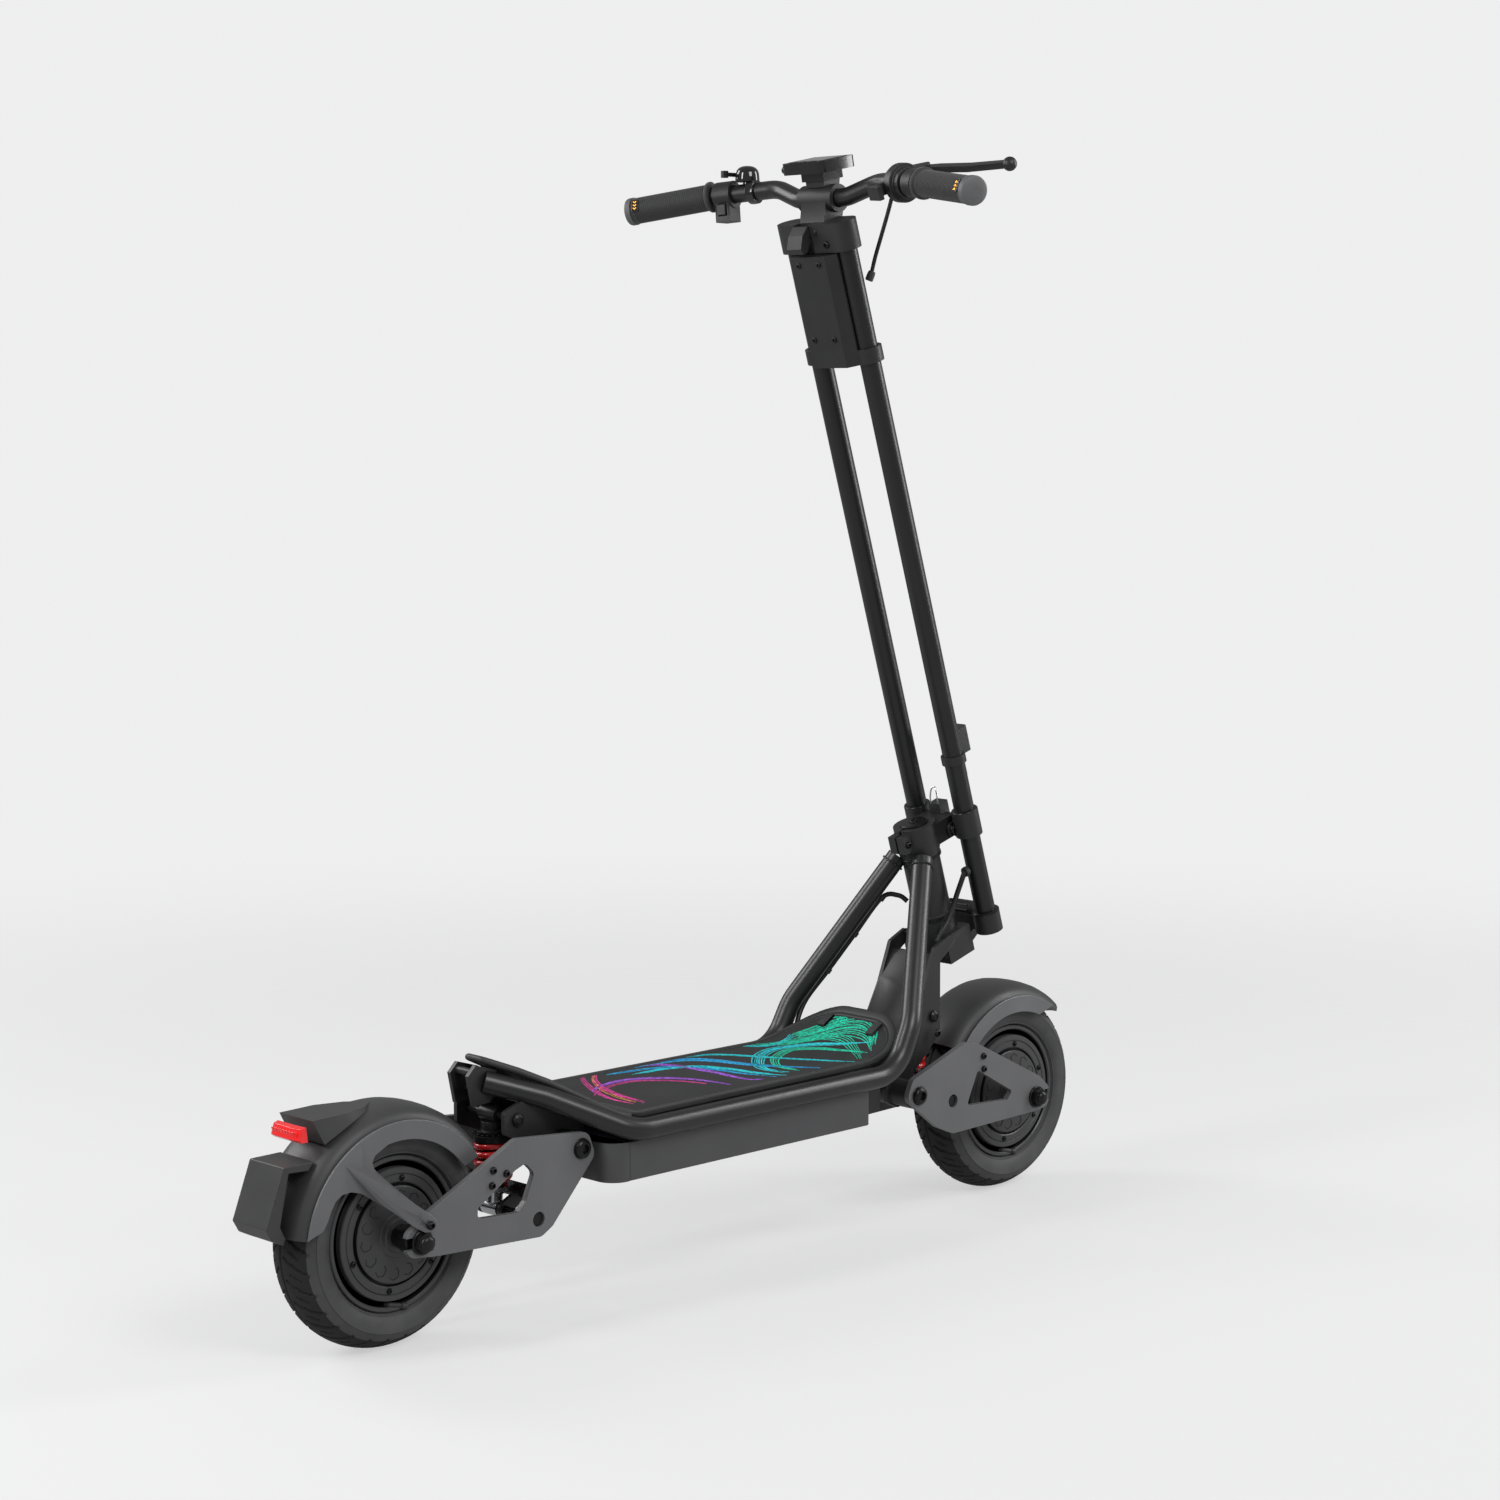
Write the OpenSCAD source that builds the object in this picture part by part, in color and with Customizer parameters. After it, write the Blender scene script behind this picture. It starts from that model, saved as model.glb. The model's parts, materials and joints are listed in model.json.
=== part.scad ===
// Electric kick scooter: twin-tube folding stem, swingarm suspension, two hub motors.
// +X is forward, +Y is the rider's left, +Z is up. The ground is z = 0 and the origin is
// under the centre of the overall footprint.

/* [Wheels] */
// Distance between the axles
wheelbase = 1088; // [1060:2:1110]
// Outside diameter of the tyres
tyre_d = 280; // [274:1:284]
// Width of the tyres
tyre_w = 78; // [66:1:82]
// Diameter of the rim that the tyre sits on
rim_d = 186; // [180:1:190]

/* [Deck] */
// Height of the deck mat's top face
deck_h = 244.5; // [240:0.5:250]
// Width of the deck plate
deck_w = 226; // [220:1:228]
// Diameter of the frame tubes
frame_tube_d = 28; // [24:1:30]
// Height of the battery case's underside
case_h = 163; // [158:1:168]
// Width of the battery case
case_w = 218; // [200:1:222]

/* [Steering head] */
// Backward lean of the head tube and of the stem
rake = 17.2; // [17:0.1:17.4]
// Diameter of the head tube
head_tube_d = 52; // [50:1:54]

/* [Stem] */
// Diameter of the two stem tubes
stem_tube_d = 28; // [26:1:29]
// Distance between the stem tubes' centre lines
stem_spread = 88; // [88:1:92]
// Length of the stem above the hinge
stem_len = 845; // [700:5:860]

/* [Handlebar] */
// Width over the grips
bar_w = 640; // [600:5:660]
// Diameter of the handlebar
bar_d = 24; // [22:1:26]
// Diameter of the grips
grip_d = 35; // [32:1:36]

/* [Suspension] */
// Diameter of the shock absorbers' coil springs
spring_d = 48; // [40:1:48]
// Thickness of the swingarm plates
plate_t = 8; // [5:1:8]

/* [Hidden] */

$fn = 48;
MESH_FN = 32;        // facets of the round parts inside hulls
footprint_x = 22;    // from the middle of the wheelbase to the middle of the whole length
fit = 0.3;           // free gap between pieces on different bodies
run_fit = 0.08;      // radial clearance of a shaft in its bearing

axle_x = wheelbase / 2;
axle_z = tyre_d / 2;
wheel_r = tyre_d / 2;
deck_y = deck_w / 2;

// Swingarms: pivot, shock eyes (x, z)
front_pivot = [304, 179];
rear_pivot = [-297, 209];
front_eye_low = [372, 161];
front_eye_top = [375, 272];
rear_eye_low = [-366, 134];
rear_eye_top = [-368, 250];
plate_y = 76;        // inner face of the swingarm plates
eye_w = 30;          // width of a shock eye
pin_r = 5;           // shock and latch bolts
pivot_r = 8;         // swingarm pivot shaft

// Steering head: a point on its axis, and the stem's distance in front of that axis
head_at = [396, 0, 487];
stem_ahead = 57;
hinge_s = 24;        // hinge's height along the head axis
head_low = -92;      // lower end of the head tube, along the axis
head_top = 8;
crown_top = 47;
crown_r = 29;         // passes between the folding tubes
stem_y = stem_spread / 2;
stem_r = stem_tube_d / 2;
yoke_low = -132;     // underside of the lower yoke, along the stem
stem_top = hinge_s + stem_len;
box_low = 684;       // stem box, along the stem
box_top = 833;

// Handlebar's centre line on the left side, from the clamp to the end of the grip
bar_half = [[205, 0, 1367], [206, 42, 1367], [215, 92, 1384], [190, 190, 1377],
    [152, bar_w / 2 - 13, 1361]];

// Routes of the cables the scooter holds
brake_hose_route = [[232, -108, 1398], [236, -97, 1386], [240, -90, 1368], [240, -82, 1345],
    [240, -70, 1315], [239, -61, 1290], [236, -57, 1268]];
stem_cable_route = [[440, -42, 464], [435, -40, 450], [427, -38, 430], [416, -37, 404],
    [403, -36, 387], [393.5, -34, 371.5]];
frame_cable_route = [[384, 13, 423], [376, 23, 431], [362, 41, 427], [332, 63, 378], [303, 86, 328],
    [279, 104, 289], [262, 104, 262], [248, 94, 240], [234, 82, 227]];

// ---------------------------------------------------------------- helpers

function unit(v) = v / norm(v);
function mirrored(p) = [for (q = p) [q[0], -q[1], q[2]]];
function reversed(p) = [for (i = [len(p) - 1:-1:0]) p[i]];
// Arc of radius r that rounds the corner b between a and c, in n steps
function corner_arc(a, b, c, r, n) =
    let (u = unit(a - b), w = unit(c - b), ang = acos(u * w), turn = 180 - ang,
        mid = b + unit(u + w) * r / sin(ang / 2), back = r / tan(ang / 2),
        e1 = unit(b + u * back - mid), e2 = unit(b + w * back - mid))
    [for (k = [0:n]) mid + r * (sin((1 - k / n) * turn) * e1 + sin(k / n * turn) * e2) / sin(turn)];
// A polyline whose inner corners are rounded to radius r
function rounded(p, r, n = 6) = concat([p[0]],
    [for (i = [1:len(p) - 2]) each corner_arc(p[i - 1], p[i], p[i + 1], r, n)], [p[len(p) - 1]]);
function spline_at(a, b, c, d, t) =
    0.5 * (2 * b + (c - a) * t + (2 * a - 5 * b + 4 * c - d) * t * t
        + (3 * b - a - 3 * c + d) * t * t * t);
// A smooth curve through the points p, with n steps between neighbours
function smooth(p, n = 2) = let (e = len(p) - 1) concat([for (i = [0:e - 1]) for (k = [0:n - 1])
    spline_at(p[max(i - 1, 0)], p[i], p[i + 1], p[min(i + 2, e)], k / n)], [p[e]]);
function tangent(p, i) = unit(p[min(i + 1, len(p) - 1)] - p[max(i - 1, 0)]);
// Normals carried along a path without twist
function normals(p, i = 0, acc = []) = i == len(p) ? acc
    : let (t = tangent(p, i), up = abs(t[1]) < 0.9 ? [0, 1, 0] : [1, 0, 0],
        n = i == 0 ? cross(t, up) : acc[i - 1] - (acc[i - 1] * t) * t)
    normals(p, i + 1, concat(acc, [unit(n)]));

// A tube of radius r along the path p, as one closed mesh
module sweep(p, r, sides = 16) {
    ns = normals(p);
    last = (len(p) - 1) * sides;
    pts = [for (i = [0:len(p) - 1]) for (k = [0:sides - 1])
        let (a = 360 * k / sides, n = ns[i], b = cross(tangent(p, i), n))
        p[i] + r * (cos(a) * n + sin(a) * b)];
    walls = [for (i = [0:len(p) - 2]) for (k = [0:sides - 1])
        let (j = (k + 1) % sides, s = i * sides) [s + k, s + j, s + sides + j, s + sides + k]];
    polyhedron(pts, concat(walls, [[for (k = [sides - 1:-1:0]) k]],
        [[for (k = [0:sides - 1]) last + k]]), convexity = 6);
}
// Straight round bar between two points
module rod(a, b, r) {
    d = b - a;
    translate(a) rotate([0, acos(d[2] / norm(d)), atan2(d[1], d[0])]) cylinder(h = norm(d), r = r);
}
module from_mid() translate([footprint_x, 0, 0]) children();
// Frame of the steering head: x ahead of the axis, z along it
module at_head() from_mid() translate(head_at) rotate([0, -rake, 0]) children();
module at_stem() at_head() translate([stem_ahead, 0, 0]) children();
module both_sides() {
    children();
    mirror([0, 1, 0]) children();
}
// Flat plate of an (x, z) outline, from y to y + t
module side_plate(y, t) translate([0, y + t, 0]) rotate([90, 0, 0]) linear_extrude(t) children();
// Cylinder across the scooter at (x, z), centred on y = 0
module cross_pin(at, r, w) translate([at[0], w / 2, at[1]]) rotate([90, 0, 0]) cylinder(h = w, r = r);
module soft_outline(r) offset(r) offset(delta = -r) children();
module ring(r_out, r_in, h) difference() {
    cylinder(h = h, r = r_out);
    translate([0, 0, -1]) cylinder(h = h + 2, r = r_in);
}
// Round bolt with a domed head across the scooter; y is the face that the head sits on
module dome_bolt(at, y, head_r, head_h) translate([at[0], y, at[1]]) rotate([-90, 0, 0]) {
    cylinder(h = head_h * 0.6, r = head_r);
    translate([0, 0, head_h * 0.6]) cylinder(h = head_h * 0.4, r1 = head_r, r2 = head_r * 0.72);
}

// ---------------------------------------------------------------- frame

tube_r = frame_tube_d / 2;
rail_z = deck_h - tube_r - 4.4;
rail_y = deck_y + 2;
// Corners of the left rail's centre line: head tube, front bends, rear bend, tail
rail_top = [375, 23, 486];
rail_knee = [257, rail_y - 3, 288];
rail_front = [224, rail_y, rail_z];
rail_rear = [-238, rail_y, rail_z];
rail_rise = [-330, 55, 273];
rail_tail = [-394, 16, 296];

module frame_tubes() color("#1b1c1e") from_mid() both_sides() sweep(concat([rail_top],
    corner_arc(rail_top, rail_knee, rail_front, 80, 3),
    corner_arc(rail_knee, rail_front, rail_rear, 60, 7),
    corner_arc(rail_front, rail_rear, rail_rise, 60, 6),
    corner_arc(rail_rear, rail_rise, rail_tail, 120, 2), [rail_tail]), tube_r, 20);

module head_tube() color("#1e1f22") at_head() {
    difference() {
        union() {
            translate([0, 0, head_low]) cylinder(h = head_top - head_low, r = head_tube_d / 2);
            translate([0, 0, head_top - 6]) cylinder(h = 6, r = head_tube_d / 2 + 2);
            translate([0, 0, head_low]) cylinder(h = 8, r = head_tube_d / 2 + 2);
        }
        translate([0, 0, head_low - 1]) cylinder(h = head_top - head_low + 2, r = 18);
        for (z = [head_low - 1, head_top - 11]) translate([0, 0, z]) cylinder(h = 12, r = 21);
    }
}

module headset_bearings() color("#9a9da1") at_head()
    for (z = [head_low + 1, head_top - 10]) translate([0, 0, z]) ring(21, 15 + run_fit, 9);

gusset_y = 42;
module frame_cross() color("#2a2b2e") from_mid() {
    // Cross tubes under the deck
    for (x = [-180, 0, 150]) cross_pin([x, rail_z], 9, rail_y * 2 - 8);
    // Barrel for the rear swingarm's pivot shaft
    difference() {
        cross_pin(rear_pivot, 18, 2 * plate_y - 2);
        cross_pin(rear_pivot, pivot_r + run_fit, 2 * plate_y);
    }
    // Gusset plates that carry the barrel and the rear shock's upper eye
    both_sides() difference() {
        side_plate(gusset_y, 6) soft_outline(6)
            polygon([[-262, 214], [-273, 213], [-284, 203], [-300, 190], [-318, 206],
                [-388, 234], [-388, 262], [-352, 274], [-262, 230]]);
        translate([rear_eye_top[0], 0, rear_eye_top[1]]) rotate([-90, 0, 0])
            cylinder(h = 100, r = pin_r + 0.5);
        translate([rear_pivot[0], 0, rear_pivot[1]]) rotate([-90, 0, 0])
            cylinder(h = 100, r = 17);
    }
    // Tail bracket with the bar that the stem's fold hook catches
    for (y = [-20, 14]) side_plate(y, 6)
        polygon([[-376, 280], [-386, 270], [-412, 268], [-420, 306], [-408, 318], [-376, 308]]);
    cross_pin([-408, 308], 5, 32);
    // Kickstand bracket
    translate([kick_at[0] - 22, kick_at[1] - 4, kick_at[2] - 10]) cube([44, 3.6, 42]);
}

module tail_outline() polygon([[-236, -deck_y + 8], [-236, deck_y - 10], [-262, deck_y - 28],
    [-384, 20], [-392, 14], [-392, -14], [-384, -20], [-262, -deck_y + 28]]);
// Side view of the deck's top, as a band t thick below the mat
module deck_band(x_low, x_high, drop, t) side_plate(-deck_w / 2 - 20, deck_w + 40)
    intersection() {
        translate([x_low, 0]) square([x_high - x_low, 400]);
        difference() {
            deck_profile(-drop);
            deck_profile(-drop - t);
        }
    }
// Area under the deck's top line, shifted by dz
module deck_profile(dz) translate([0, dz]) polygon(concat([[-400, 100]], [[-400, 325]],
    deck_line, [[320, 100]]));
nose_r = 170;
deck_line = concat([[-388, 322], [-355, 308], [-321, 291], [-276, 264], [-250, 249], [-236, deck_h]],
    [for (a = [0:5:45]) [170 + nose_r * sin(a), deck_h + nose_r * (1 - cos(a))]], [[320, 310]]);

mat_front = 287;
nose_corner = 76;
module deck_outline(inset) hull() for (y = [-1, 1]) {
    translate([-236 + inset + 14, y * (deck_y - inset - 14)]) circle(14, $fn = MESH_FN);
    translate([mat_front - inset - nose_corner, y * (30 - inset)]) circle(nose_corner, $fn = 64);
}

module deck_plate() color("#232427") from_mid() {
    intersection() {
        deck_band(-236, 300, 4, 5);
        linear_extrude(400) deck_outline(9);
    }
    intersection() {
        deck_band(-400, -236.2, 0, 5);
        linear_extrude(400) tail_outline();
    }
}

module deck_mat() color("#17181a") from_mid() {
    intersection() {
        deck_band(-234, 300, 0, 4);
        linear_extrude(400) deck_outline(3);
    }
    // Two raised rubber tabs on the upturned front
    for (y = [-45, 45]) translate([257, y, 270]) rotate([0, -31, 0]) cube([24, 12, 5], center = true);
}

case_y = case_w / 2;
case_front = 183;
cap_x = -241;
module case_outline(inset) hull() {
    for (y = [-1, 1]) {
        translate([-271 + inset + 26, y * (case_y - inset - 26)]) circle(26);
        translate([case_front - inset - 6, y * (case_y - inset - 6)]) circle(6);
    }
}
module case_shell(x_low, x_high) intersection() {
    translate([x_low, -200, 0]) cube([x_high - x_low, 400, 400]);
    difference() {
        translate([0, 0, case_h]) linear_extrude(rail_z - tube_r - 0.5 - case_h) case_outline(0);
        translate([0, 0, case_h + 3]) linear_extrude(100) case_outline(3);
    }
}
module battery_case() color("#26272a") from_mid() case_shell(cap_x, case_front);
module battery_end_cap() color("#1c1d1f") from_mid() case_shell(-300, cap_x - 0.6);
module battery_pack() color("#3f6d8f") from_mid()
    translate([-225, -case_y + 12, case_h + 5]) cube([385, case_w - 24, 36]);

nose_front = 254;
module controller_case() color("#1a1b1d") from_mid() difference() {
    union() {
        translate([case_front + 0.4, -60, case_h]) cube([nose_front - case_front - 0.4, 120, 46]);
        for (y = [-48:12:48]) translate([case_front + 8, y - 2, case_h - 3])
            cube([nose_front - case_front - 16, 4, 3]);
    }
    translate([case_front + 4, -56, case_h + 4]) cube([nose_front - case_front - 8, 112, 38]);
}

module frame_cables() color("#0e0f10") from_mid() sweep(smooth(frame_cable_route, 2), 3.4, 8);

// Kickstand, folded back along the left side of the case
kick_at = [-128, 114, 185];
kick_foot = kick_at + [-186, 16, -10];
module kickstand() color("#303236") from_mid() {
    translate(kick_at) rotate([-90, 0, 0]) cylinder(h = 14, r = 12);
    rod(kick_at + [0, 8, 0], kick_foot, 7);
    translate(kick_foot - [8, 0, 0]) rotate([0, 90, 0]) cylinder(h = 16, r = 10);
}

// ---------------------------------------------------------------- wheels

tyre_shoulder = tyre_w / 2;
// Cross-section of a tyre, from bead to crown to bead (radius, half width)
module tyre_section() polygon(concat(
    [[rim_d / 2, -26], [rim_d / 2 + 5, -31]],
    [for (a = [-65:65 / 6:65.1]) [wheel_r - 34 + 34 * cos(a), tyre_shoulder * sin(a) / sin(65)]],
    [[rim_d / 2 + 5, 31], [rim_d / 2, 26]]));
module tyre() rotate([90, 0, 0]) rotate_extrude($fn = 96) tyre_section();

hub_in = 70;         // radius of the motor's inside
// Hub motor shell: rim well, two side plates and their bosses
module hub_shell() rotate([90, 0, 0]) rotate_extrude($fn = 96) difference() {
    polygon([[rim_d / 2 - 0.2, -26], [rim_d / 2 - 0.2, 26], [82, 26], [76, 30], [76, 34], [60, 38],
        [22, 40], [22, 44], [14 + run_fit, 44], [14 + run_fit, -44], [22, -44], [22, -40], [60, -38],
        [76, -34], [76, -30], [82, -26]]);
    translate([0, -28]) square([hub_in, 56]);
}
module at_axle(x) from_mid() translate([x, 0, axle_z]) children();

// Axle shaft with its flats, and the stator pressed on it
module axle_core() {
    rotate([90, 0, 0]) difference() {
        translate([0, 0, -92]) cylinder(h = 184, r = 7);
        for (s = [-1, 1]) translate([0, s * 10.5, 0]) for (z = [-92, 64])
            translate([-10, -5, z]) cube([20, 10, 28]);
    }
    rotate([90, 0, 0]) translate([0, 0, -58]) cylinder(h = 116, r = 14);
    rotate([90, 0, 0]) difference() {
        translate([0, 0, -22]) cylinder(h = 44, r = hub_in - 3);
        for (a = [0:30:330]) rotate(a) translate([52, 0, -23]) cylinder(h = 46, r = 9);
    }
}

module rear_tyre() color("#1d1e20") at_axle(-axle_x) tyre();
module rear_hub() color("#2b2d31") at_axle(-axle_x) hub_shell();
module rear_axle() color("#8b8e93") at_axle(-axle_x) axle_core();
module front_tyre() color("#1d1e20") at_axle(axle_x) tyre();
module front_hub() color("#2b2d31") at_axle(axle_x) hub_shell();
module front_axle() color("#8b8e93") at_axle(axle_x) axle_core();

// ---------------------------------------------------------------- swingarms

module axle_slot(x, dir) translate([x, 0, axle_z]) rotate([-90, 0, 0]) hull() {
    cylinder(h = 120, r = 7.3);
    translate([dir * 40, 0, 0]) cylinder(h = 120, r = 7.3);
}
eye_head_r = 9;      // head of the bolt through a shock's lower eye
module plate_holes(pivot, eye) {
    translate([pivot[0], 0, pivot[1]]) rotate([-90, 0, 0]) cylinder(h = 120, r = pivot_r + run_fit);
    translate([eye[0], 0, eye[1]]) rotate([-90, 0, 0]) cylinder(h = 120, r = eye_head_r + 0.05);
}
module rear_arm_plates() color("#3a3c40") from_mid() both_sides() difference() {
    side_plate(plate_y, plate_t) difference() {
        soft_outline(14) polygon([[-275, 198], [-286, 228], [-400, 238], [-536, 172], [-566, 152],
            [-566, 124], [-520, 119], [-362, 112], [-344, 122]]);
        soft_outline(8) polygon([[-470, 158], [-464, 152], [-398, 148], [-386, 160], [-372, 192],
            [-386, 206], [-402, 200]]);
    }
    plate_holes(rear_pivot, rear_eye_low);
    axle_slot(-axle_x, -1);
}
module front_arm_plates() color("#3a3c40") from_mid() both_sides() difference() {
    side_plate(plate_y, plate_t) difference() {
        soft_outline(14) polygon([[280, 176], [292, 202], [398, 238], [424, 232], [552, 168],
            [572, 150], [572, 124], [548, 120], [372, 116], [340, 130]]);
        soft_outline(4) polygon([[422, 196], [494, 156], [484, 145], [400, 150]]);
    }
    plate_holes(front_pivot, front_eye_low);
    axle_slot(axle_x, 1);
}
// Cross tubes between the two plates of a swingarm, with the ears of the shock's lower eye
module arm_bridge(eye, brace) {
    cross_pin(brace, 9, 2 * plate_y);
    both_sides() side_plate(eye_w / 2 + 1, 6) difference() {
        hull() {
            translate(eye) circle(10, $fn = MESH_FN);
            translate(brace) circle(7, $fn = MESH_FN);
        }
        translate(eye) circle(pin_r + 0.4);
    }
}
rear_brace = [-336, 152];
front_brace = [338, 158];
module rear_arm_bridge() color("#2f3134") from_mid() arm_bridge(rear_eye_low, rear_brace);
module front_arm_bridge() color("#2f3134") from_mid() arm_bridge(front_eye_low, front_brace);

module axle_nuts(x) from_mid() both_sides() {
    translate([x, plate_y + plate_t + 0.2, axle_z]) rotate([-90, 0, 0]) {
        ring(15, 7.4, 3);
        translate([0, 0, 3]) difference() {
            union() {
                cylinder(h = 8, r = 12.5, $fn = 6);
                translate([0, 0, 8]) cylinder(h = 4, r1 = 11, r2 = 6);
            }
            translate([0, 0, -1]) cylinder(h = 8, r = 7.4);
        }
    }
    translate([x, 58.4, axle_z]) rotate([-90, 0, 0]) ring(17, 7.4, plate_y - 58.6);
}
// Through bolts of a swingarm: pivot shaft and shock bolt
module arm_bolts(pivot, eye) from_mid() {
    cross_pin(pivot, pivot_r, 2 * (plate_y + plate_t));
    cross_pin(eye, pin_r, 2 * plate_y + 4);
    both_sides() dome_bolt(pivot, plate_y + plate_t, 13, 7);
    both_sides() dome_bolt(eye, plate_y + 1, eye_head_r, 4);
}
module rear_arm_bolts() color("#15161a") {
    arm_bolts(rear_pivot, rear_eye_low);
    axle_nuts(-axle_x);
    from_mid() both_sides() for (p = [[-436, 206], [-416, 199], [-438, 188]])
        dome_bolt(p, plate_y + plate_t, 5, 4);
}
module front_arm_bolts() color("#15161a") {
    arm_bolts(front_pivot, front_eye_low);
    axle_nuts(axle_x);
    from_mid() both_sides() for (p = [[433, 214], [434, 196]]) dome_bolt(p, plate_y + plate_t, 5, 4);
}

// ---------------------------------------------------------------- mudguards

guard_r = 150;       // inside radius of the mudguards
guard_w = 94;
// Curved band round a wheel between two angles above the horizontal, measured from +X
module guard_band(a1, a2) rotate([90, 0, 0]) rotate([0, 0, a1]) rotate_extrude(angle = a2 - a1, $fn = 96)
    difference() {
        polygon([[118, -guard_w / 2], [140, -guard_w / 2], [guard_r + 5, -guard_w / 2 + 18],
            [guard_r + 5, guard_w / 2 - 18], [140, guard_w / 2], [118, guard_w / 2]]);
        polygon([[117, -guard_w / 2 + 2.5], [139, -guard_w / 2 + 2.5], [guard_r + 2, -guard_w / 2 + 19],
            [guard_r + 2, guard_w / 2 - 19], [139, guard_w / 2 - 2.5], [117, guard_w / 2 - 2.5]]);
    }
module rear_mudguard() color("#1b1c1e") {
    at_axle(-axle_x) guard_band(38, 172);
    // Flat hood over the tail light
    from_mid() {
        side_plate(-32, 64) polygon([[-574, 295], [-660, 293], [-664, 288], [-640, 262],
            [-600, 282], [-574, 290]]);
    }
}
module front_mudguard() color("#1b1c1e") {
    at_axle(axle_x) guard_band(50, 147);
    // Ears that bolt to the arm plates
    from_mid() both_sides() translate([433, guard_w / 2 - 1, 214]) rotate([-90, 0, 0])
        cylinder(h = plate_y - guard_w / 2 + 1, r = 6);
}

module mudguard_stays() color("#4a4c50") from_mid() both_sides() {
    side_plate(guard_w / 2, 4) {
        intersection() {
            translate([-axle_x, axle_z]) difference() {
                circle(138, $fn = 96);
                circle(114, $fn = 96);
            }
            translate([-axle_x, axle_z]) polygon([[0, 0], [200, 150], [0, 300], [-200, 300],
                [-300, 20], [0, 10]]);
        }
        soft_outline(4) polygon([[-588, 252], [-582, 227], [-566, 208], [-500, 158], [-498, 146],
            [-506, 140], [-522, 145], [-590, 193], [-606, 203], [-622, 207], [-650, 205], [-660, 220]]);
    }
    // Spacer to the arm plate
    translate([-510, guard_w / 2, 148]) rotate([-90, 0, 0]) cylinder(h = plate_y - guard_w / 2, r = 6);
}

module plate_holder() color("#2c2e31") from_mid()
    side_plate(-33, 66) polygon([[-657, 246.4], [-700, 246], [-726, 178], [-718, 164], [-702, 156],
        [-699, 164], [-706, 178], [-693, 238], [-665.3, 236.4]]);
module tail_light() color("#c01818") from_mid()
    side_plate(-27, 54) polygon([[-664.6, 287.4], [-672, 284], [-677, 270], [-664, 260],
        [-641, 261.8]]);

// ---------------------------------------------------------------- shock absorbers

// The shock's frame: z runs from the lower eye to the upper eye
module at_shock(low, top) from_mid() translate([top[0], 0, top[1]])
    rotate([0, atan2(top[0] - low[0], top[1] - low[1]), 0]) children();
module eye(w) rotate([90, 0, 0]) difference() {
    translate([0, 0, -w / 2]) cylinder(h = w, r = 10);
    translate([0, 0, -w]) cylinder(h = 2 * w, r = pin_r + 0.4);
}
spring_top = -32;
module shock_body(low, top) at_shock(low, top) {
    eye(eye_w);
    difference() {
        union() {
            translate([0, 0, -26]) cylinder(h = 18, r = 14);
            translate([0, 0, spring_top]) cylinder(h = 8, r = spring_d / 2);
            translate([0, 0, -70]) cylinder(h = 50, r = 15);
        }
        translate([0, 0, -71]) cylinder(h = 50, r = 6 + run_fit);
    }
}
module shock_rod(low, top) {
    len = norm(top - low);
    at_shock(low, top) {
        translate([0, 0, -len]) eye(eye_w - 2);
        translate([0, 0, -len + 8]) cylinder(h = 17, r = 11);
        translate([0, 0, -len + 24]) cylinder(h = 5, r = spring_d / 2);
        translate([0, 0, -len + 12]) cylinder(h = len - 12 - 36, r = 6);
    }
}
coil_turns = 5;
coil_steps = 14;
wire_r = 3.2;
module coil_spring(low, top) {
    z1 = spring_top - wire_r - 0.2;
    z0 = -norm(top - low) + 29 + wire_r + 0.2;
    r = spring_d / 2 - wire_r;
    at_shock(low, top) sweep([for (i = [0:coil_turns * coil_steps])
        let (a = 360 * i / coil_steps, t = i / (coil_turns * coil_steps))
        [r * cos(a), r * sin(a), z0 + (z1 - z0) * min(1, max(0, (t - 0.08) / 0.84))]], wire_r, 8);
}
module shock_top_bolt(top, w) from_mid() {
    cross_pin(top, pin_r, w);
    both_sides() dome_bolt(top, w / 2 - 3 + fit, 8, 5);
}
module rear_shock_body() color("#17181a") {
    shock_body(rear_eye_low, rear_eye_top);
    shock_top_bolt(rear_eye_top, 2 * gusset_y + 18);
}
module rear_shock_rod() color("#56595e") shock_rod(rear_eye_low, rear_eye_top);
module rear_spring() color("#c8141b") coil_spring(rear_eye_low, rear_eye_top);
module front_shock_body() color("#17181a") {
    shock_body(front_eye_low, front_eye_top);
    shock_top_bolt(front_eye_top, 2 * 44 + 6);
}
module front_shock_rod() color("#56595e") shock_rod(front_eye_low, front_eye_top);
module front_spring() color("#c8141b") coil_spring(front_eye_low, front_eye_top);

// ---------------------------------------------------------------- fork

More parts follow.
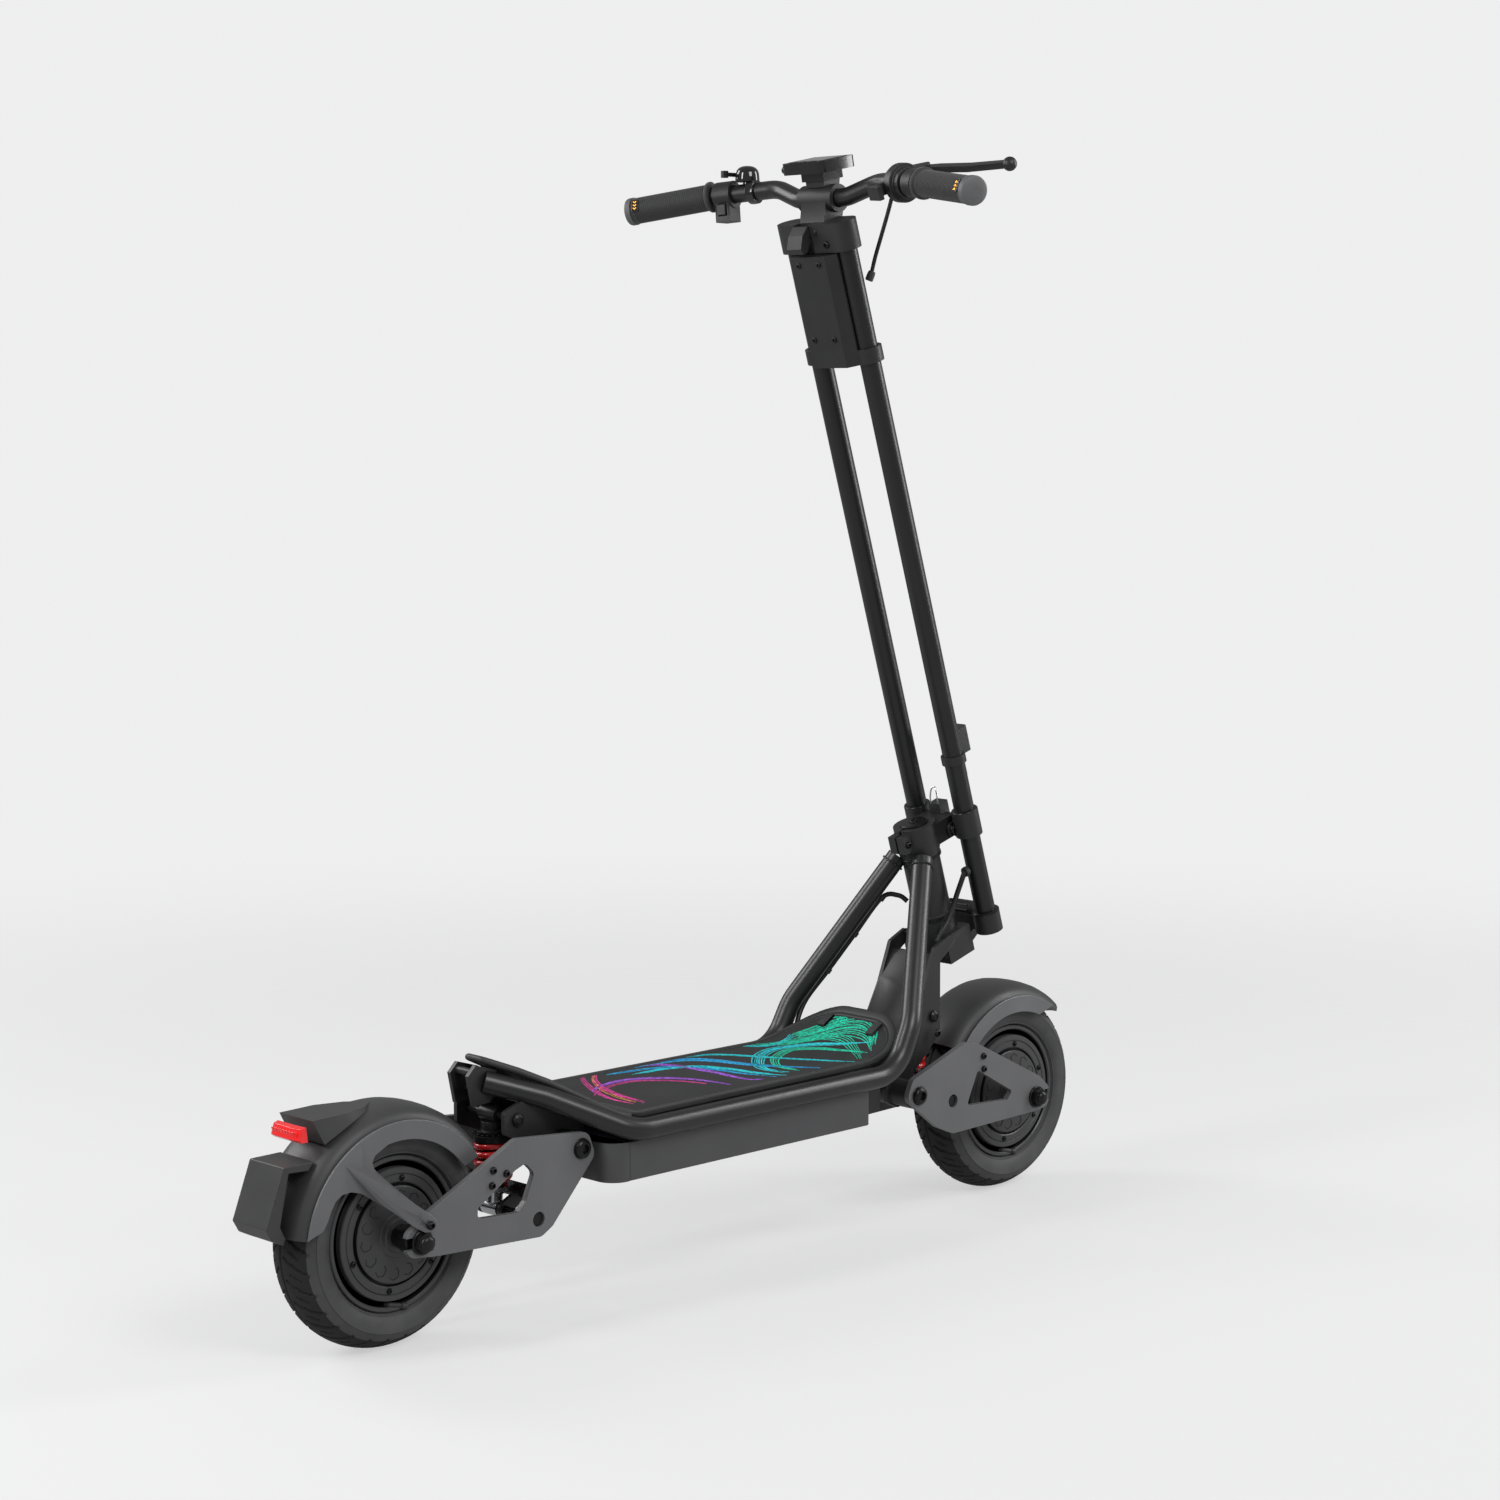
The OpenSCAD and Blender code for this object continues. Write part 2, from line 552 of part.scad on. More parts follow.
fork_y = 38;         // inner face of the fork's side plates
module fork_steerer() color("#85888d") at_head() difference() {
    translate([0, 0, head_low - 28]) cylinder(h = crown_top - head_low + 26, r = 15);
    translate([0, 0, head_low - 29]) cylinder(h = crown_top - head_low + 28, r = 12);
}
crown_low = -152;
module fork_body() color("#1d1e21") {
    // Crown under the head tube
    at_head() difference() {
        union() {
            translate([0, 0, crown_low + 12]) cylinder(h = head_low - fit - crown_low - 12, r = 30);
            translate([-26, -fork_y - 3, crown_low + 4]) cube([50, 2 * fork_y + 6, 40]);
        }
        translate([0, 0, head_low - 28]) cylinder(h = 60, r = 15);
        // Slot and bore for the latch hook
        translate([-1, -latch_t / 2 - fit, crown_low]) cube([45, latch_t + 2 * fit, 44]);
        translate([latch_at[0], 40, latch_at[1]]) rotate([90, 0, 0]) cylinder(h = 80, r = pin_r + run_fit);
    }
    // Side plates from the crown down to the swingarm's pivot
    from_mid() both_sides() difference() {
        side_plate(fork_y, 6) soft_outline(5) polygon([[424, 372], [389, 346], [389, 246], [366, 226],
            [334, 196], [328, 168], [306, 156], [284, 166], [280, 186], [330, 262], [356, 310],
            [378, 366], [408, 380]]);
        translate([front_pivot[0], 0, front_pivot[1]]) rotate([-90, 0, 0]) cylinder(h = 90, r = 17);
        translate([front_eye_top[0], 0, front_eye_top[1]]) rotate([-90, 0, 0])
            cylinder(h = 90, r = pin_r + 0.5);
    }
    // Barrel for the front swingarm's pivot shaft
    from_mid() difference() {
        cross_pin(front_pivot, 18, 2 * plate_y - 2);
        cross_pin(front_pivot, pivot_r + run_fit, 2 * plate_y);
    }
    // Rear web between the plates
    from_mid() side_plate(-fork_y - 2, 2 * fork_y + 4) polygon([[290, 190], [300, 190], [340, 262],
        [365, 312], [387, 346], [392, 354], [384, 355], [377, 348], [355, 312], [326, 262]]);
}
module upper_crown() color("#202124") at_head() difference() {
    union() {
        translate([0, 0, head_top + fit]) cylinder(h = crown_top - head_top - fit, r = crown_r);
        translate([0, -25, head_top + 4]) cube([stem_ahead, 50, 30]);
        translate([stem_ahead, 25, hinge_s]) rotate([90, 0, 0]) cylinder(h = 50, r = 12);
        translate([stem_ahead - 12, -10, hinge_s]) cube([18, 20, 34]);
        // Pinch clamp at the back
        translate([-40, -14, 18]) cube([16, 28, 24]);
    }
    translate([0, 0, head_top - 20]) cylinder(h = 80, r = 15);
    translate([-50, -1.5, 10]) cube([40, 3, 60]);
    translate([stem_ahead, 40, hinge_s]) rotate([90, 0, 0]) cylinder(h = 80, r = 7 + run_fit);
}
module hinge_pin() color("#8b8e93") at_stem() translate([0, 29.6, hinge_s])
    rotate([90, 0, 0]) cylinder(h = 59.2, r = 7);

latch_at = [12, -140];   // latch pivot in the head's frame (x ahead, z along)
latch_t = 14;
module latch_hook() color("#2c2e31") at_head() {
    translate([0, latch_t / 2, 0]) rotate([90, 0, 0]) linear_extrude(latch_t) union() {
        translate(latch_at) circle(10, $fn = MESH_FN);
        // Arm under the yoke, with its nose turned up ahead of it
        translate(latch_at) soft_outline(2) polygon([[-2, -10], [26, -15], [44, -15], [58, -9],
            [67, 2], [68, 9], [60, 9.4], [54, 3], [42, -3], [26, -3], [9, 6]]);
    }
    translate([latch_at[0], 37, latch_at[1]]) rotate([90, 0, 0]) cylinder(h = 74, r = pin_r);
}

// ---------------------------------------------------------------- stem

module stem_tubes() color("#141517") at_stem() both_sides() translate([0, stem_y, yoke_low + 6])
    ring(stem_r, stem_r - 2, stem_top - yoke_low - 6);

module hinge_collars() color("#202124") at_stem() both_sides() difference() {
    union() {
        translate([0, stem_y, 12]) cylinder(h = 36, r = stem_r + 4.5);
        translate([-12, 28, 12]) cube([24, 8, 24]);
    }
    translate([0, stem_y, 0]) cylinder(h = 60, r = stem_r + 0.05);
    translate([0, 60, hinge_s]) rotate([90, 0, 0]) cylinder(h = 50, r = 7 + 0.02);
}

module lower_yoke() color("#1b1c1e") at_stem() {
    difference() {
        union() {
            both_sides() translate([0, stem_y, yoke_low]) cylinder(h = 30, r = stem_r + 5);
            translate([-12, -stem_y, yoke_low + 4]) cube([24, stem_spread, 20]);
        }
        both_sides() translate([0, stem_y, yoke_low + 6]) cylinder(h = 60, r = stem_r + 0.05);
    }
    // Ribbed buffer between the tubes
    translate([0, 20, yoke_low + 30]) rotate([90, 0, 0]) cylinder(h = 40, r = 9);
    for (a = [0:45:315]) translate([9 * cos(a), 18, yoke_low + 30 + 9 * sin(a)]) rotate([90, 0, 0])
        cylinder(h = 36, r = 1.5);
}
module stem_cable() color("#0e0f10") from_mid() sweep(smooth(stem_cable_route, 2), 3.6, 8);

// Lamp ahead of the tubes, carried by the right one
lamp_s = 108;
module headlight() color("#1a1b1d") at_stem() {
    translate([0, 0, lamp_s]) difference() {
        linear_extrude(36) hull() {
            translate([44, -15]) square([6, 30]);
            for (y = [-8, 8]) translate([63, y]) circle(7, $fn = MESH_FN);
        }
        translate([67, -11, 5]) cube([8, 22, 26]);
    }
    translate([50, -7, lamp_s - 34]) cube([8, 14, 36]);
    // Strap and arm
    translate([0, -stem_y, lamp_s + 10]) ring(stem_r + 3, stem_r + 0.05, 12);
    hull() {
        translate([15.5, -46, lamp_s + 10]) cube([3, 14, 12]);
        translate([43, -15, lamp_s + 10]) cube([3, 12, 12]);
    }
}

module stem_box() color("#17181a") at_stem() {
    difference() {
        translate([0, 0, box_low]) linear_extrude(box_top - box_low) polygon([[-18, -42], [-30, -30],
            [-30, 30], [-18, 42], [-15, 42], [-15, 26], [20, 26], [20, -26], [-15, -26], [-15, -42]]);
        translate([-26, -22, box_low + 5]) cube([40, 44, box_top - box_low - 10]);
    }
    // Clamp bands round the tubes at the bottom
    both_sides() translate([0, stem_y, box_low]) difference() {
        cylinder(h = 20, r = stem_r + 5);
        translate([0, 0, -1]) cylinder(h = 22, r = stem_r + 0.05);
    }
}

bar_up = 897;        // handlebar's centre, along the stem
bar_ahead = 20;
hook_at = [-16, 862];    // fold hook's pivot in the stem's frame
hook_pin_r = 2.5;
module top_yoke() color("#1c1d1f") at_stem() difference() {
    union() {
        both_sides() translate([0, stem_y, box_top + 2])
            cylinder(h = stem_top + 2 - box_top, r = stem_r + 6);
        translate([-20, -stem_y, box_top + 2]) cube([40, stem_spread, stem_top + 2 - box_top]);
        // Riser and clamp round the bar
        hull() {
            translate([-8, -22, stem_top]) cube([34, 44, 4]);
            translate([bar_ahead - 17, -22, bar_up - 6]) cube([34, 44, 8]);
        }
        translate([bar_ahead, 30, bar_up]) rotate([90, 0, 0]) cylinder(h = 60, r = bar_d / 2 + 6);
    }
    both_sides() translate([0, stem_y, 0]) cylinder(h = stem_top + 0.2, r = stem_r + 0.05);
    translate([bar_ahead, 60, bar_up]) rotate([90, 0, 0]) cylinder(h = 120, r = bar_d / 2 + 0.1);
    // Pocket and pivot bore for the fold hook
    translate([hook_at[0], 27, hook_at[1]]) rotate([90, 0, 0]) cylinder(h = 36, r = hook_pin_r + run_fit);
    translate([-40, -4 - fit, box_top]) cube([31.5, 26 + 2 * fit, 60]);
}
module fold_hook() color("#2c2e31") at_stem() {
    translate([hook_at[0], 26, hook_at[1]]) rotate([90, 0, 0]) cylinder(h = 34, r = hook_pin_r);
    translate([0, 22, 0]) rotate([90, 0, 0]) linear_extrude(26) soft_outline(2) polygon([
        [-12.6, 856], [-12.6, 868], [-22, 872], [-34, 862], [-42, 846], [-38, 838], [-30, 840],
        [-24, 848]]);
}

// ---------------------------------------------------------------- handlebar

bar_path = rounded(concat(reversed(mirrored(bar_half)), [for (i = [1:4]) bar_half[i]]), 45, 5);
module handlebar() color("#1a1b1d") from_mid() sweep(bar_path, bar_d / 2, 20);

grip_a = bar_half[3];
grip_b = bar_half[4];
// Frame along the left grip: z runs outwards from the grip's inner end
module at_grip(side) from_mid() mirror([0, side < 0 ? 1 : 0, 0]) translate(grip_a)
    rotate([0, acos(unit(grip_b - grip_a)[2]), atan2((grip_b - grip_a)[1], (grip_b - grip_a)[0])])
    children();
grip_len = norm(grip_b - grip_a);
module grips() color("#111214") for (side = [-1, 1]) at_grip(side) {
    difference() {
        union() {
            cylinder(h = 5, r = grip_d / 2 + 3);
            cylinder(h = grip_len - 4, r = grip_d / 2);
        }
        translate([0, 0, -1]) cylinder(h = grip_len, r = bar_d / 2 + 0.15);
    }
    // Bar-end cap with the indicator ring
    translate([0, 0, grip_len - 3.8]) cylinder(h = 3, r = grip_d / 2 - 4);
    translate([0, 0, grip_len + 0.2]) cylinder(h = 6, r = grip_d / 2 + 1);
}

// Frame along the bar between the bend and the grip: z runs outwards, origin at distance d inwards
module at_bar(side, d) from_mid() mirror([0, side < 0 ? 1 : 0, 0])
    translate(bar_half[3] + d * unit(bar_half[2] - bar_half[3]))
    rotate([0, acos(unit(bar_half[3] - bar_half[2])[2]),
        atan2((bar_half[3] - bar_half[2])[1], (bar_half[3] - bar_half[2])[0])]) children();

module display() color("#101113") from_mid() translate([198, 0, 1402]) rotate([0, -11, 0]) {
    linear_extrude(15) hull() for (x = [-24, 24]) for (y = [-28, 28])
        translate([x, y]) circle(9, $fn = MESH_FN);
    translate([-14, -20, -12]) cube([36, 40, 12]);
    translate([-10, 34, 5]) rotate([-90, 0, 0]) cylinder(h = 20, r = 4.5);
}

module throttle_housing() color("#1c1d1f") at_bar(-1, 62) difference() {
    union() {
        cylinder(h = 22, r = 25);
        translate([0, 0, 22]) cylinder(h = 10, r = 20);
    }
    translate([0, 0, -1]) cylinder(h = 40, r = bar_d / 2 + 0.15);
    translate([0, 0, -1]) cylinder(h = 10, r = 60);
}
module throttle_paddle() color("#2a2b2e") at_bar(-1, 62) difference() {
    union() {
        translate([0, 0, 1]) cylinder(h = 7.6, r = 21);
        rotate([0, 0, 70]) translate([14, -8, 1]) cube([30, 16, 7.6]);
        rotate([0, 0, 70]) translate([38, -9, 1]) cube([7, 18, 25]);
    }
    translate([0, 0, -14]) cylinder(h = 40, r = bar_d / 2 + 0.4);
}

lever_at = [236, -150, 1398];
lever_tilt = 24;
// Frame of the brake lever: z is its pivot axis, tilted back
module at_lever() from_mid() translate(lever_at) rotate([0, -lever_tilt, 0]) children();
module brake_mount() color("#1a1b1d") difference() {
    brake_mount_solid();
    // Clear of the throttle beside it
    at_bar(-1, 62) translate([0, 0, -1]) cylinder(h = 24, r = 25 + fit);
    at_bar(-1, 62) translate([0, 0, 22]) cylinder(h = 10 + fit, r = 20 + fit);
}
module brake_mount_solid() {
    at_bar(-1, 26) difference() {
        cylinder(h = 20, r = bar_d / 2 + 6);
        translate([0, 0, -1]) cylinder(h = 30, r = bar_d / 2 + 0.15);
    }
    at_lever() difference() {
        union() {
            translate([0, 0, -7]) linear_extrude(14) hull() {
                circle(9, $fn = MESH_FN);
                translate([-12, 34]) circle(7, $fn = MESH_FN);
                translate([-18, 4]) circle(7, $fn = MESH_FN);
            }
        }
        translate([-13, -40, -4 - fit]) cube([40, 60, 8 + 2 * fit]);
        translate([0, 0, -20]) cylinder(h = 40, r = 3);
    }
    from_mid() rod([209, -174, 1387], [226, -141, 1395.5], 5.5);
}
// Lever blade: x, y and half width at its stations
blade = [[0, 0, 7], [2, -22, 6], [-4, -80, 6.5], [-1, -138, 5.5]];
module brake_lever() color("#202226") at_lever() {
    translate([0, 0, -7]) cylinder(h = 14, r = 2.9);
    for (i = [0:len(blade) - 2]) translate([0, 0, -4]) linear_extrude(8) hull() {
        translate([blade[i][0], blade[i][1]]) circle(blade[i][2], $fn = MESH_FN);
        translate([blade[i + 1][0], blade[i + 1][1]]) circle(blade[i + 1][2], $fn = MESH_FN);
    }
    translate([-1, -144, 0]) sphere(9);
}
module brake_hose() color("#0c0d0e") from_mid() {
    sweep(smooth(brake_hose_route, 2), 2.6, 8);
}

module bell() color("#141517") {
    at_bar(1, 64) ring(bar_d / 2 + 4, bar_d / 2 + 0.15, 14);
    from_mid() bell_top();
}
module bell_top() {
    translate([206, 134, 1384]) rotate([0, -6, 0]) {
        translate([0, 0, 12]) cylinder(h = 4, r = 8);
        translate([0, 0, 16]) difference() {
            union() {
                cylinder(h = 10, r = 15);
                translate([0, 0, 10]) cylinder(h = 5, r1 = 15, r2 = 9);
            }
            translate([0, 0, -1]) cylinder(h = 9, r = 13);
        }
        translate([0, 0, 15]) cylinder(h = 12, r = 4);
    }
    // Tab that carries the striker's pivot
    translate([200, 132, 1398.4]) cube([12, 28, 3.2]);
}
striker_at = [206, 156, 1402];
module bell_striker() color("#1b1c1e") from_mid() translate(striker_at) {
    cylinder(h = 5, r = 6);
    translate([-26, -3, 0]) cube([26, 6, 5]);
    translate([-28, 0, -2]) cylinder(h = 9, r = 5);
}

module switch_pod() color("#18191b") {
    at_bar(1, 34) difference() {
        union() {
            cylinder(h = 26, r = bar_d / 2 + 6);
            translate([6, -14, 2]) cube([30, 28, 22]);
        }
        translate([0, 0, -1]) cylinder(h = 30, r = bar_d / 2 + 0.15);
        translate([12, 6, 6]) cube([16, 12, 14]);
    }
}
module switch_button() color("#2b2d31") at_bar(1, 34) translate([13, 8.6, 7]) cube([14, 8.4, 12]);

frame_tubes();
head_tube();
headset_bearings();
frame_cross();
deck_plate();
deck_mat();
battery_case();
battery_end_cap();
battery_pack();
controller_case();
frame_cables();
kickstand();
rear_arm_plates();
rear_arm_bridge();
rear_arm_bolts();
rear_axle();
rear_tyre();
rear_hub();
rear_mudguard();
mudguard_stays();
plate_holder();
tail_light();
rear_shock_body();
rear_shock_rod();
rear_spring();
front_arm_plates();
front_arm_bridge();
front_arm_bolts();
front_axle();
front_tyre();
front_hub();
front_mudguard();
front_shock_body();
front_shock_rod();
front_spring();
fork_steerer();
fork_body();
upper_crown();
hinge_pin();
latch_hook();
stem_tubes();
hinge_collars();
lower_yoke();
stem_cable();
headlight();
stem_box();
top_yoke();
fold_hook();
handlebar();
grips();
display();
throttle_housing();
throttle_paddle();
brake_mount();
brake_lever();
brake_hose();
bell();
bell_striker();
switch_pod();
switch_button();
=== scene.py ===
"""Electric kick scooter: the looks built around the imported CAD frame."""
import json
import math
import random

import bmesh
import bpy
from mathutils import Matrix, Vector

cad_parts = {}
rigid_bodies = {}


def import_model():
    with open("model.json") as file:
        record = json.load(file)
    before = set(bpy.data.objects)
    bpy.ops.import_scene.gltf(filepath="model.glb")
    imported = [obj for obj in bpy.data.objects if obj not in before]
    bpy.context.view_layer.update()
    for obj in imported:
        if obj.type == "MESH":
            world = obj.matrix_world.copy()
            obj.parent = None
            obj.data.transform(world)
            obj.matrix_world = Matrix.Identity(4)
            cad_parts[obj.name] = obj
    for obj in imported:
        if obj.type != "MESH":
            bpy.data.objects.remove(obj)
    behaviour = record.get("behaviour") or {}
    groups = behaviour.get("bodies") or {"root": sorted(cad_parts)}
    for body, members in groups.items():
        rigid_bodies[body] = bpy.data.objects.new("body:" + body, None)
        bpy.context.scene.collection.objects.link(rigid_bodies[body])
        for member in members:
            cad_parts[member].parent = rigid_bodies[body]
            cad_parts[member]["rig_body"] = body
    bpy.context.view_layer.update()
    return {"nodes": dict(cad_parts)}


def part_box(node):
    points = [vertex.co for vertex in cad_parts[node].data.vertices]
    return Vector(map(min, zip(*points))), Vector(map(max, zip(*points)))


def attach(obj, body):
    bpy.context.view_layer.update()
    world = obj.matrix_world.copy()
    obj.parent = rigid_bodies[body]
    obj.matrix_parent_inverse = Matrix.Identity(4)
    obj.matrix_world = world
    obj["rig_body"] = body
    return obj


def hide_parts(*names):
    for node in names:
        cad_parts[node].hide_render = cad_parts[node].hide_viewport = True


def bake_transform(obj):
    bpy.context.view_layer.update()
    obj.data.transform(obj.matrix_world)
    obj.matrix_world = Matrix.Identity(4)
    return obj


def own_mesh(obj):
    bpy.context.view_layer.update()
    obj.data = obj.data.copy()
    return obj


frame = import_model()
NODES = frame["nodes"]
MM = 0.001
FOOT_X = 22.0                   # mm from the middle of the wheelbase to the record's origin
RAKE = math.radians(17.2)       # lean of the steering axis
HEAD_X, HEAD_Z = 396, 487       # upper end of the steering axis
STEM_AHEAD = 57.0               # from the steering axis to the middle of the stem
STEM_Y = 44                     # from the middle to each stem tube
AXLE_X, AXLE_Z = 544.0, 140.0   # each axle from the middle of the wheelbase, and above the ground
rng = random.Random(7)


# ---------------------- places

def at(x, y, z):
    """A point given in mm from the middle of the wheelbase, in the record's frame."""
    return Vector(((x + FOOT_X) * MM, y * MM, z * MM))


def head(x, y, z):
    """A point in the steering head's frame: x ahead of its axis, z along it."""
    c, s = math.cos(RAKE), math.sin(RAKE)
    return at(HEAD_X + x * c - z * s, y, HEAD_Z + x * s + z * c)


def stem(x, y, z):
    """A point in the stem's frame: x ahead of the middle of its tubes, z along them."""
    return head(x + STEM_AHEAD, y, z)


UP = Vector((-math.sin(RAKE), 0, math.cos(RAKE)))
AHEAD = Vector((math.cos(RAKE), 0, math.sin(RAKE)))
UP_Z = Vector((0, 0, 1))


# ---------------------- materials

MATS = {}


def material(name, color, rough=0.4, metal=0.0, tone=0.12, tone_scale=14.0, grain=1400.0, bump=0.06,
             rough_var=0.06, coat=0.0, coat_rough=0.1, sheen=0.0, emit=None, spec=0.5):
    """A surface with uneven tone, roughness that varies, and a fine grain in its bump."""
    m = bpy.data.materials.new(name)
    m.use_nodes = True
    nt = m.node_tree
    b = nt.nodes["Principled BSDF"]
    b.inputs["Metallic"].default_value = metal
    b.inputs["Coat Weight"].default_value = coat
    b.inputs["Coat Roughness"].default_value = coat_rough
    b.inputs["Sheen Weight"].default_value = sheen
    b.inputs["Specular IOR Level"].default_value = spec
    src = nt.nodes.new("ShaderNodeTexCoord").outputs["Object"]
    big = nt.nodes.new("ShaderNodeTexNoise")
    big.inputs["Scale"].default_value = tone_scale
    big.inputs["Detail"].default_value = 4.0
    nt.links.new(src, big.inputs["Vector"])
    ramp = nt.nodes.new("ShaderNodeValToRGB")
    ramp.color_ramp.elements[0].position = 0.3
    ramp.color_ramp.elements[1].position = 0.7
    ramp.color_ramp.elements[0].color = [c * (1 - tone) for c in color] + [1]
    ramp.color_ramp.elements[1].color = [min(1, c * (1 + tone)) for c in color] + [1]
    nt.links.new(big.outputs["Fac"], ramp.inputs["Fac"])
    nt.links.new(ramp.outputs["Color"], b.inputs["Base Color"])
    fine = nt.nodes.new("ShaderNodeTexNoise")
    fine.inputs["Scale"].default_value = grain
    fine.inputs["Detail"].default_value = 3.0
    nt.links.new(src, fine.inputs["Vector"])
    mr = nt.nodes.new("ShaderNodeMapRange")
    mr.inputs["From Min"].default_value = 0.3
    mr.inputs["From Max"].default_value = 0.7
    mr.inputs["To Min"].default_value = max(0.02, rough - rough_var)
    mr.inputs["To Max"].default_value = min(1.0, rough + rough_var)
    nt.links.new(big.outputs["Fac"], mr.inputs["Value"])
    nt.links.new(mr.outputs["Result"], b.inputs["Roughness"])
    if bump > 0:
        bp = nt.nodes.new("ShaderNodeBump")
        bp.inputs["Strength"].default_value = bump
        bp.inputs["Distance"].default_value = 0.0004
        nt.links.new(fine.outputs["Fac"], bp.inputs["Height"])
        nt.links.new(bp.outputs["Normal"], b.inputs["Normal"])
    if emit:
        b.inputs["Emission Color"].default_value = list(emit[0]) + [1]
        b.inputs["Emission Strength"].default_value = emit[1]
    MATS[name] = m


def grey(v):
    """A grey that is a little blue, as painted metal looks under a studio light."""
    return (v * 0.99, v, v * 1.03)


material("frame_paint", grey(0.012), rough=0.36, coat=0.25, coat_rough=0.3, grain=500, bump=0.01,
         rough_var=0.02)
material("tube_black", grey(0.008), rough=0.36, coat=0.15, coat_rough=0.3, grain=500, bump=0.01,
         rough_var=0.02)
material("cast_black", grey(0.02), rough=0.46, grain=900, bump=0.22, rough_var=0.08)
material("plate_grey", grey(0.165), rough=0.42, metal=0.25, grain=2200, bump=0.1, rough_var=0.04, tone=0.05)
material("stay_grey", grey(0.19), rough=0.36, metal=0.4, grain=2200, bump=0.08, rough_var=0.05, tone=0.06)
material("guard_black", grey(0.045), rough=0.44, grain=1700, bump=0.1, tone=0.08)
material("hub_grey", grey(0.075), rough=0.4, metal=0.35, grain=1500, bump=0.15, tone=0.1)
material("hub_dark", grey(0.012), rough=0.5, grain=1500, bump=0.15)
material("steel_dark", grey(0.02), rough=0.32, metal=0.6, grain=2400, bump=0.06)
material("steel", (0.5, 0.51, 0.53), rough=0.25, metal=1.0, grain=900, bump=0.06)
material("tyre", grey(0.02), rough=0.72, grain=700, bump=0.35, tone=0.2, spec=0.35)
material("sidewall", grey(0.075), rough=0.6, grain=700, bump=0.25, tone=0.16, tone_scale=40, spec=0.4)
material("grip_rubber", grey(0.03), rough=0.66, grain=1900, bump=0.4, sheen=0.2)
material("rubber_edge", grey(0.035), rough=0.5, grain=1200, bump=0.2)
material("mat", grey(0.03), rough=0.82, grain=1500, bump=0.9, tone=0.2, spec=0.3)
material("cable", grey(0.01), rough=0.42, grain=900, bump=0.15)
material("plastic_black", grey(0.018), rough=0.42, grain=1500, bump=0.2)
material("plastic_gloss", grey(0.012), rough=0.12, grain=1200, bump=0.02, coat=0.5, coat_rough=0.05)
material("case_grey", grey(0.085), rough=0.4, metal=0.2, grain=2000, bump=0.1, tone=0.06)
material("spring_red", (0.55, 0.012, 0.014), rough=0.28, grain=1600, bump=0.05, coat=0.5)
material("lens_red", (0.85, 0.01, 0.012), rough=0.12, grain=200, bump=0.05, coat=0.8,
         emit=((1.0, 0.0, 0.0), 0.12))
INKS = {"ink_pink": ((0.85, 0.06, 0.3), 0.6), "ink_orange": ((0.9, 0.3, 0.08), 0.6),
        "ink_violet": ((0.3, 0.1, 0.55), 0.7), "ink_blue": ((0.03, 0.35, 0.85), 0.6),
        "ink_cyan": ((0.03, 0.6, 0.8), 0.6), "ink_green": ((0.02, 0.6, 0.38), 0.5)}
for ink, (color, tone) in INKS.items():
    material(ink, color, rough=0.75, grain=1500, bump=0.9, tone=tone, tone_scale=260, spec=0.2)
material("amber", (1.0, 0.36, 0.02), rough=0.3, grain=300, bump=0.05, emit=((1.0, 0.4, 0.03), 1.6))
material("cell_wrap", (0.015, 0.02, 0.03), rough=0.5, grain=400, bump=0.1)
material("cap_grey", grey(0.12), rough=0.5, grain=1500, bump=0.15)
material("screen", (0.006, 0.007, 0.009), rough=0.08, grain=60, bump=0.0, coat=1.0, coat_rough=0.03)


# ---------------------- meshes

def finish_mesh(name, me, body, mat, slot=None, bevel=0.0, segs=2, angle=32):
    """Places a mesh with its finish, its broken edges (bevel in mm) and its body; slot is not used."""
    ob = bpy.data.objects.new(name, me)
    bpy.context.scene.collection.objects.link(ob)
    mats = mat if isinstance(mat, (list, tuple)) else [mat]
    for m in mats:
        me.materials.append(MATS[m])
    me.shade_smooth()
    me.set_sharp_from_angle(angle=math.radians(angle))
    if bevel > 0:
        bv = ob.modifiers.new("edge", "BEVEL")
        bv.width = bevel * MM
        bv.segments = segs
        bv.limit_method = "ANGLE"
        bv.angle_limit = math.radians(angle)
        bv.harden_normals = True
        bv.use_clamp_overlap = True
    if body:
        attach(ob, body)
    slot = slot or mats[0]
    return ob


def rides_on(node):
    """The body that a CAD node belongs to."""
    return NODES[node]["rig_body"]


def bevelled(node, mat, width, angle=32, segs=2):
    """The CAD node's own shape with its edges broken by width mm, in place of the sharp one."""
    bm = bmesh.new()
    bm.from_mesh(NODES[node].data)
    for f in bm.faces:
        f.material_index = 0
    bmesh.ops.remove_doubles(bm, verts=bm.verts, dist=2e-6)
    bmesh.ops.dissolve_degenerate(bm, edges=bm.edges, dist=1e-6)
    bmesh.ops.dissolve_limit(bm, angle_limit=math.radians(0.6), verts=bm.verts, edges=bm.edges)
    me = bpy.data.meshes.new(node + "_edged")
    bm.to_mesh(me)
    bm.free()
    ob = finish_mesh(node + "_edged", me, rides_on(node), mat, bevel=width, segs=segs, angle=angle)
    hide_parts(node)


def dress(node, mat):
    """Keeps the CAD node as it is and gives it a finish."""
    me = NODES[node].data
    me.materials.clear()
    me.materials.append(MATS[mat])
    for p in me.polygons:
        p.material_index = 0


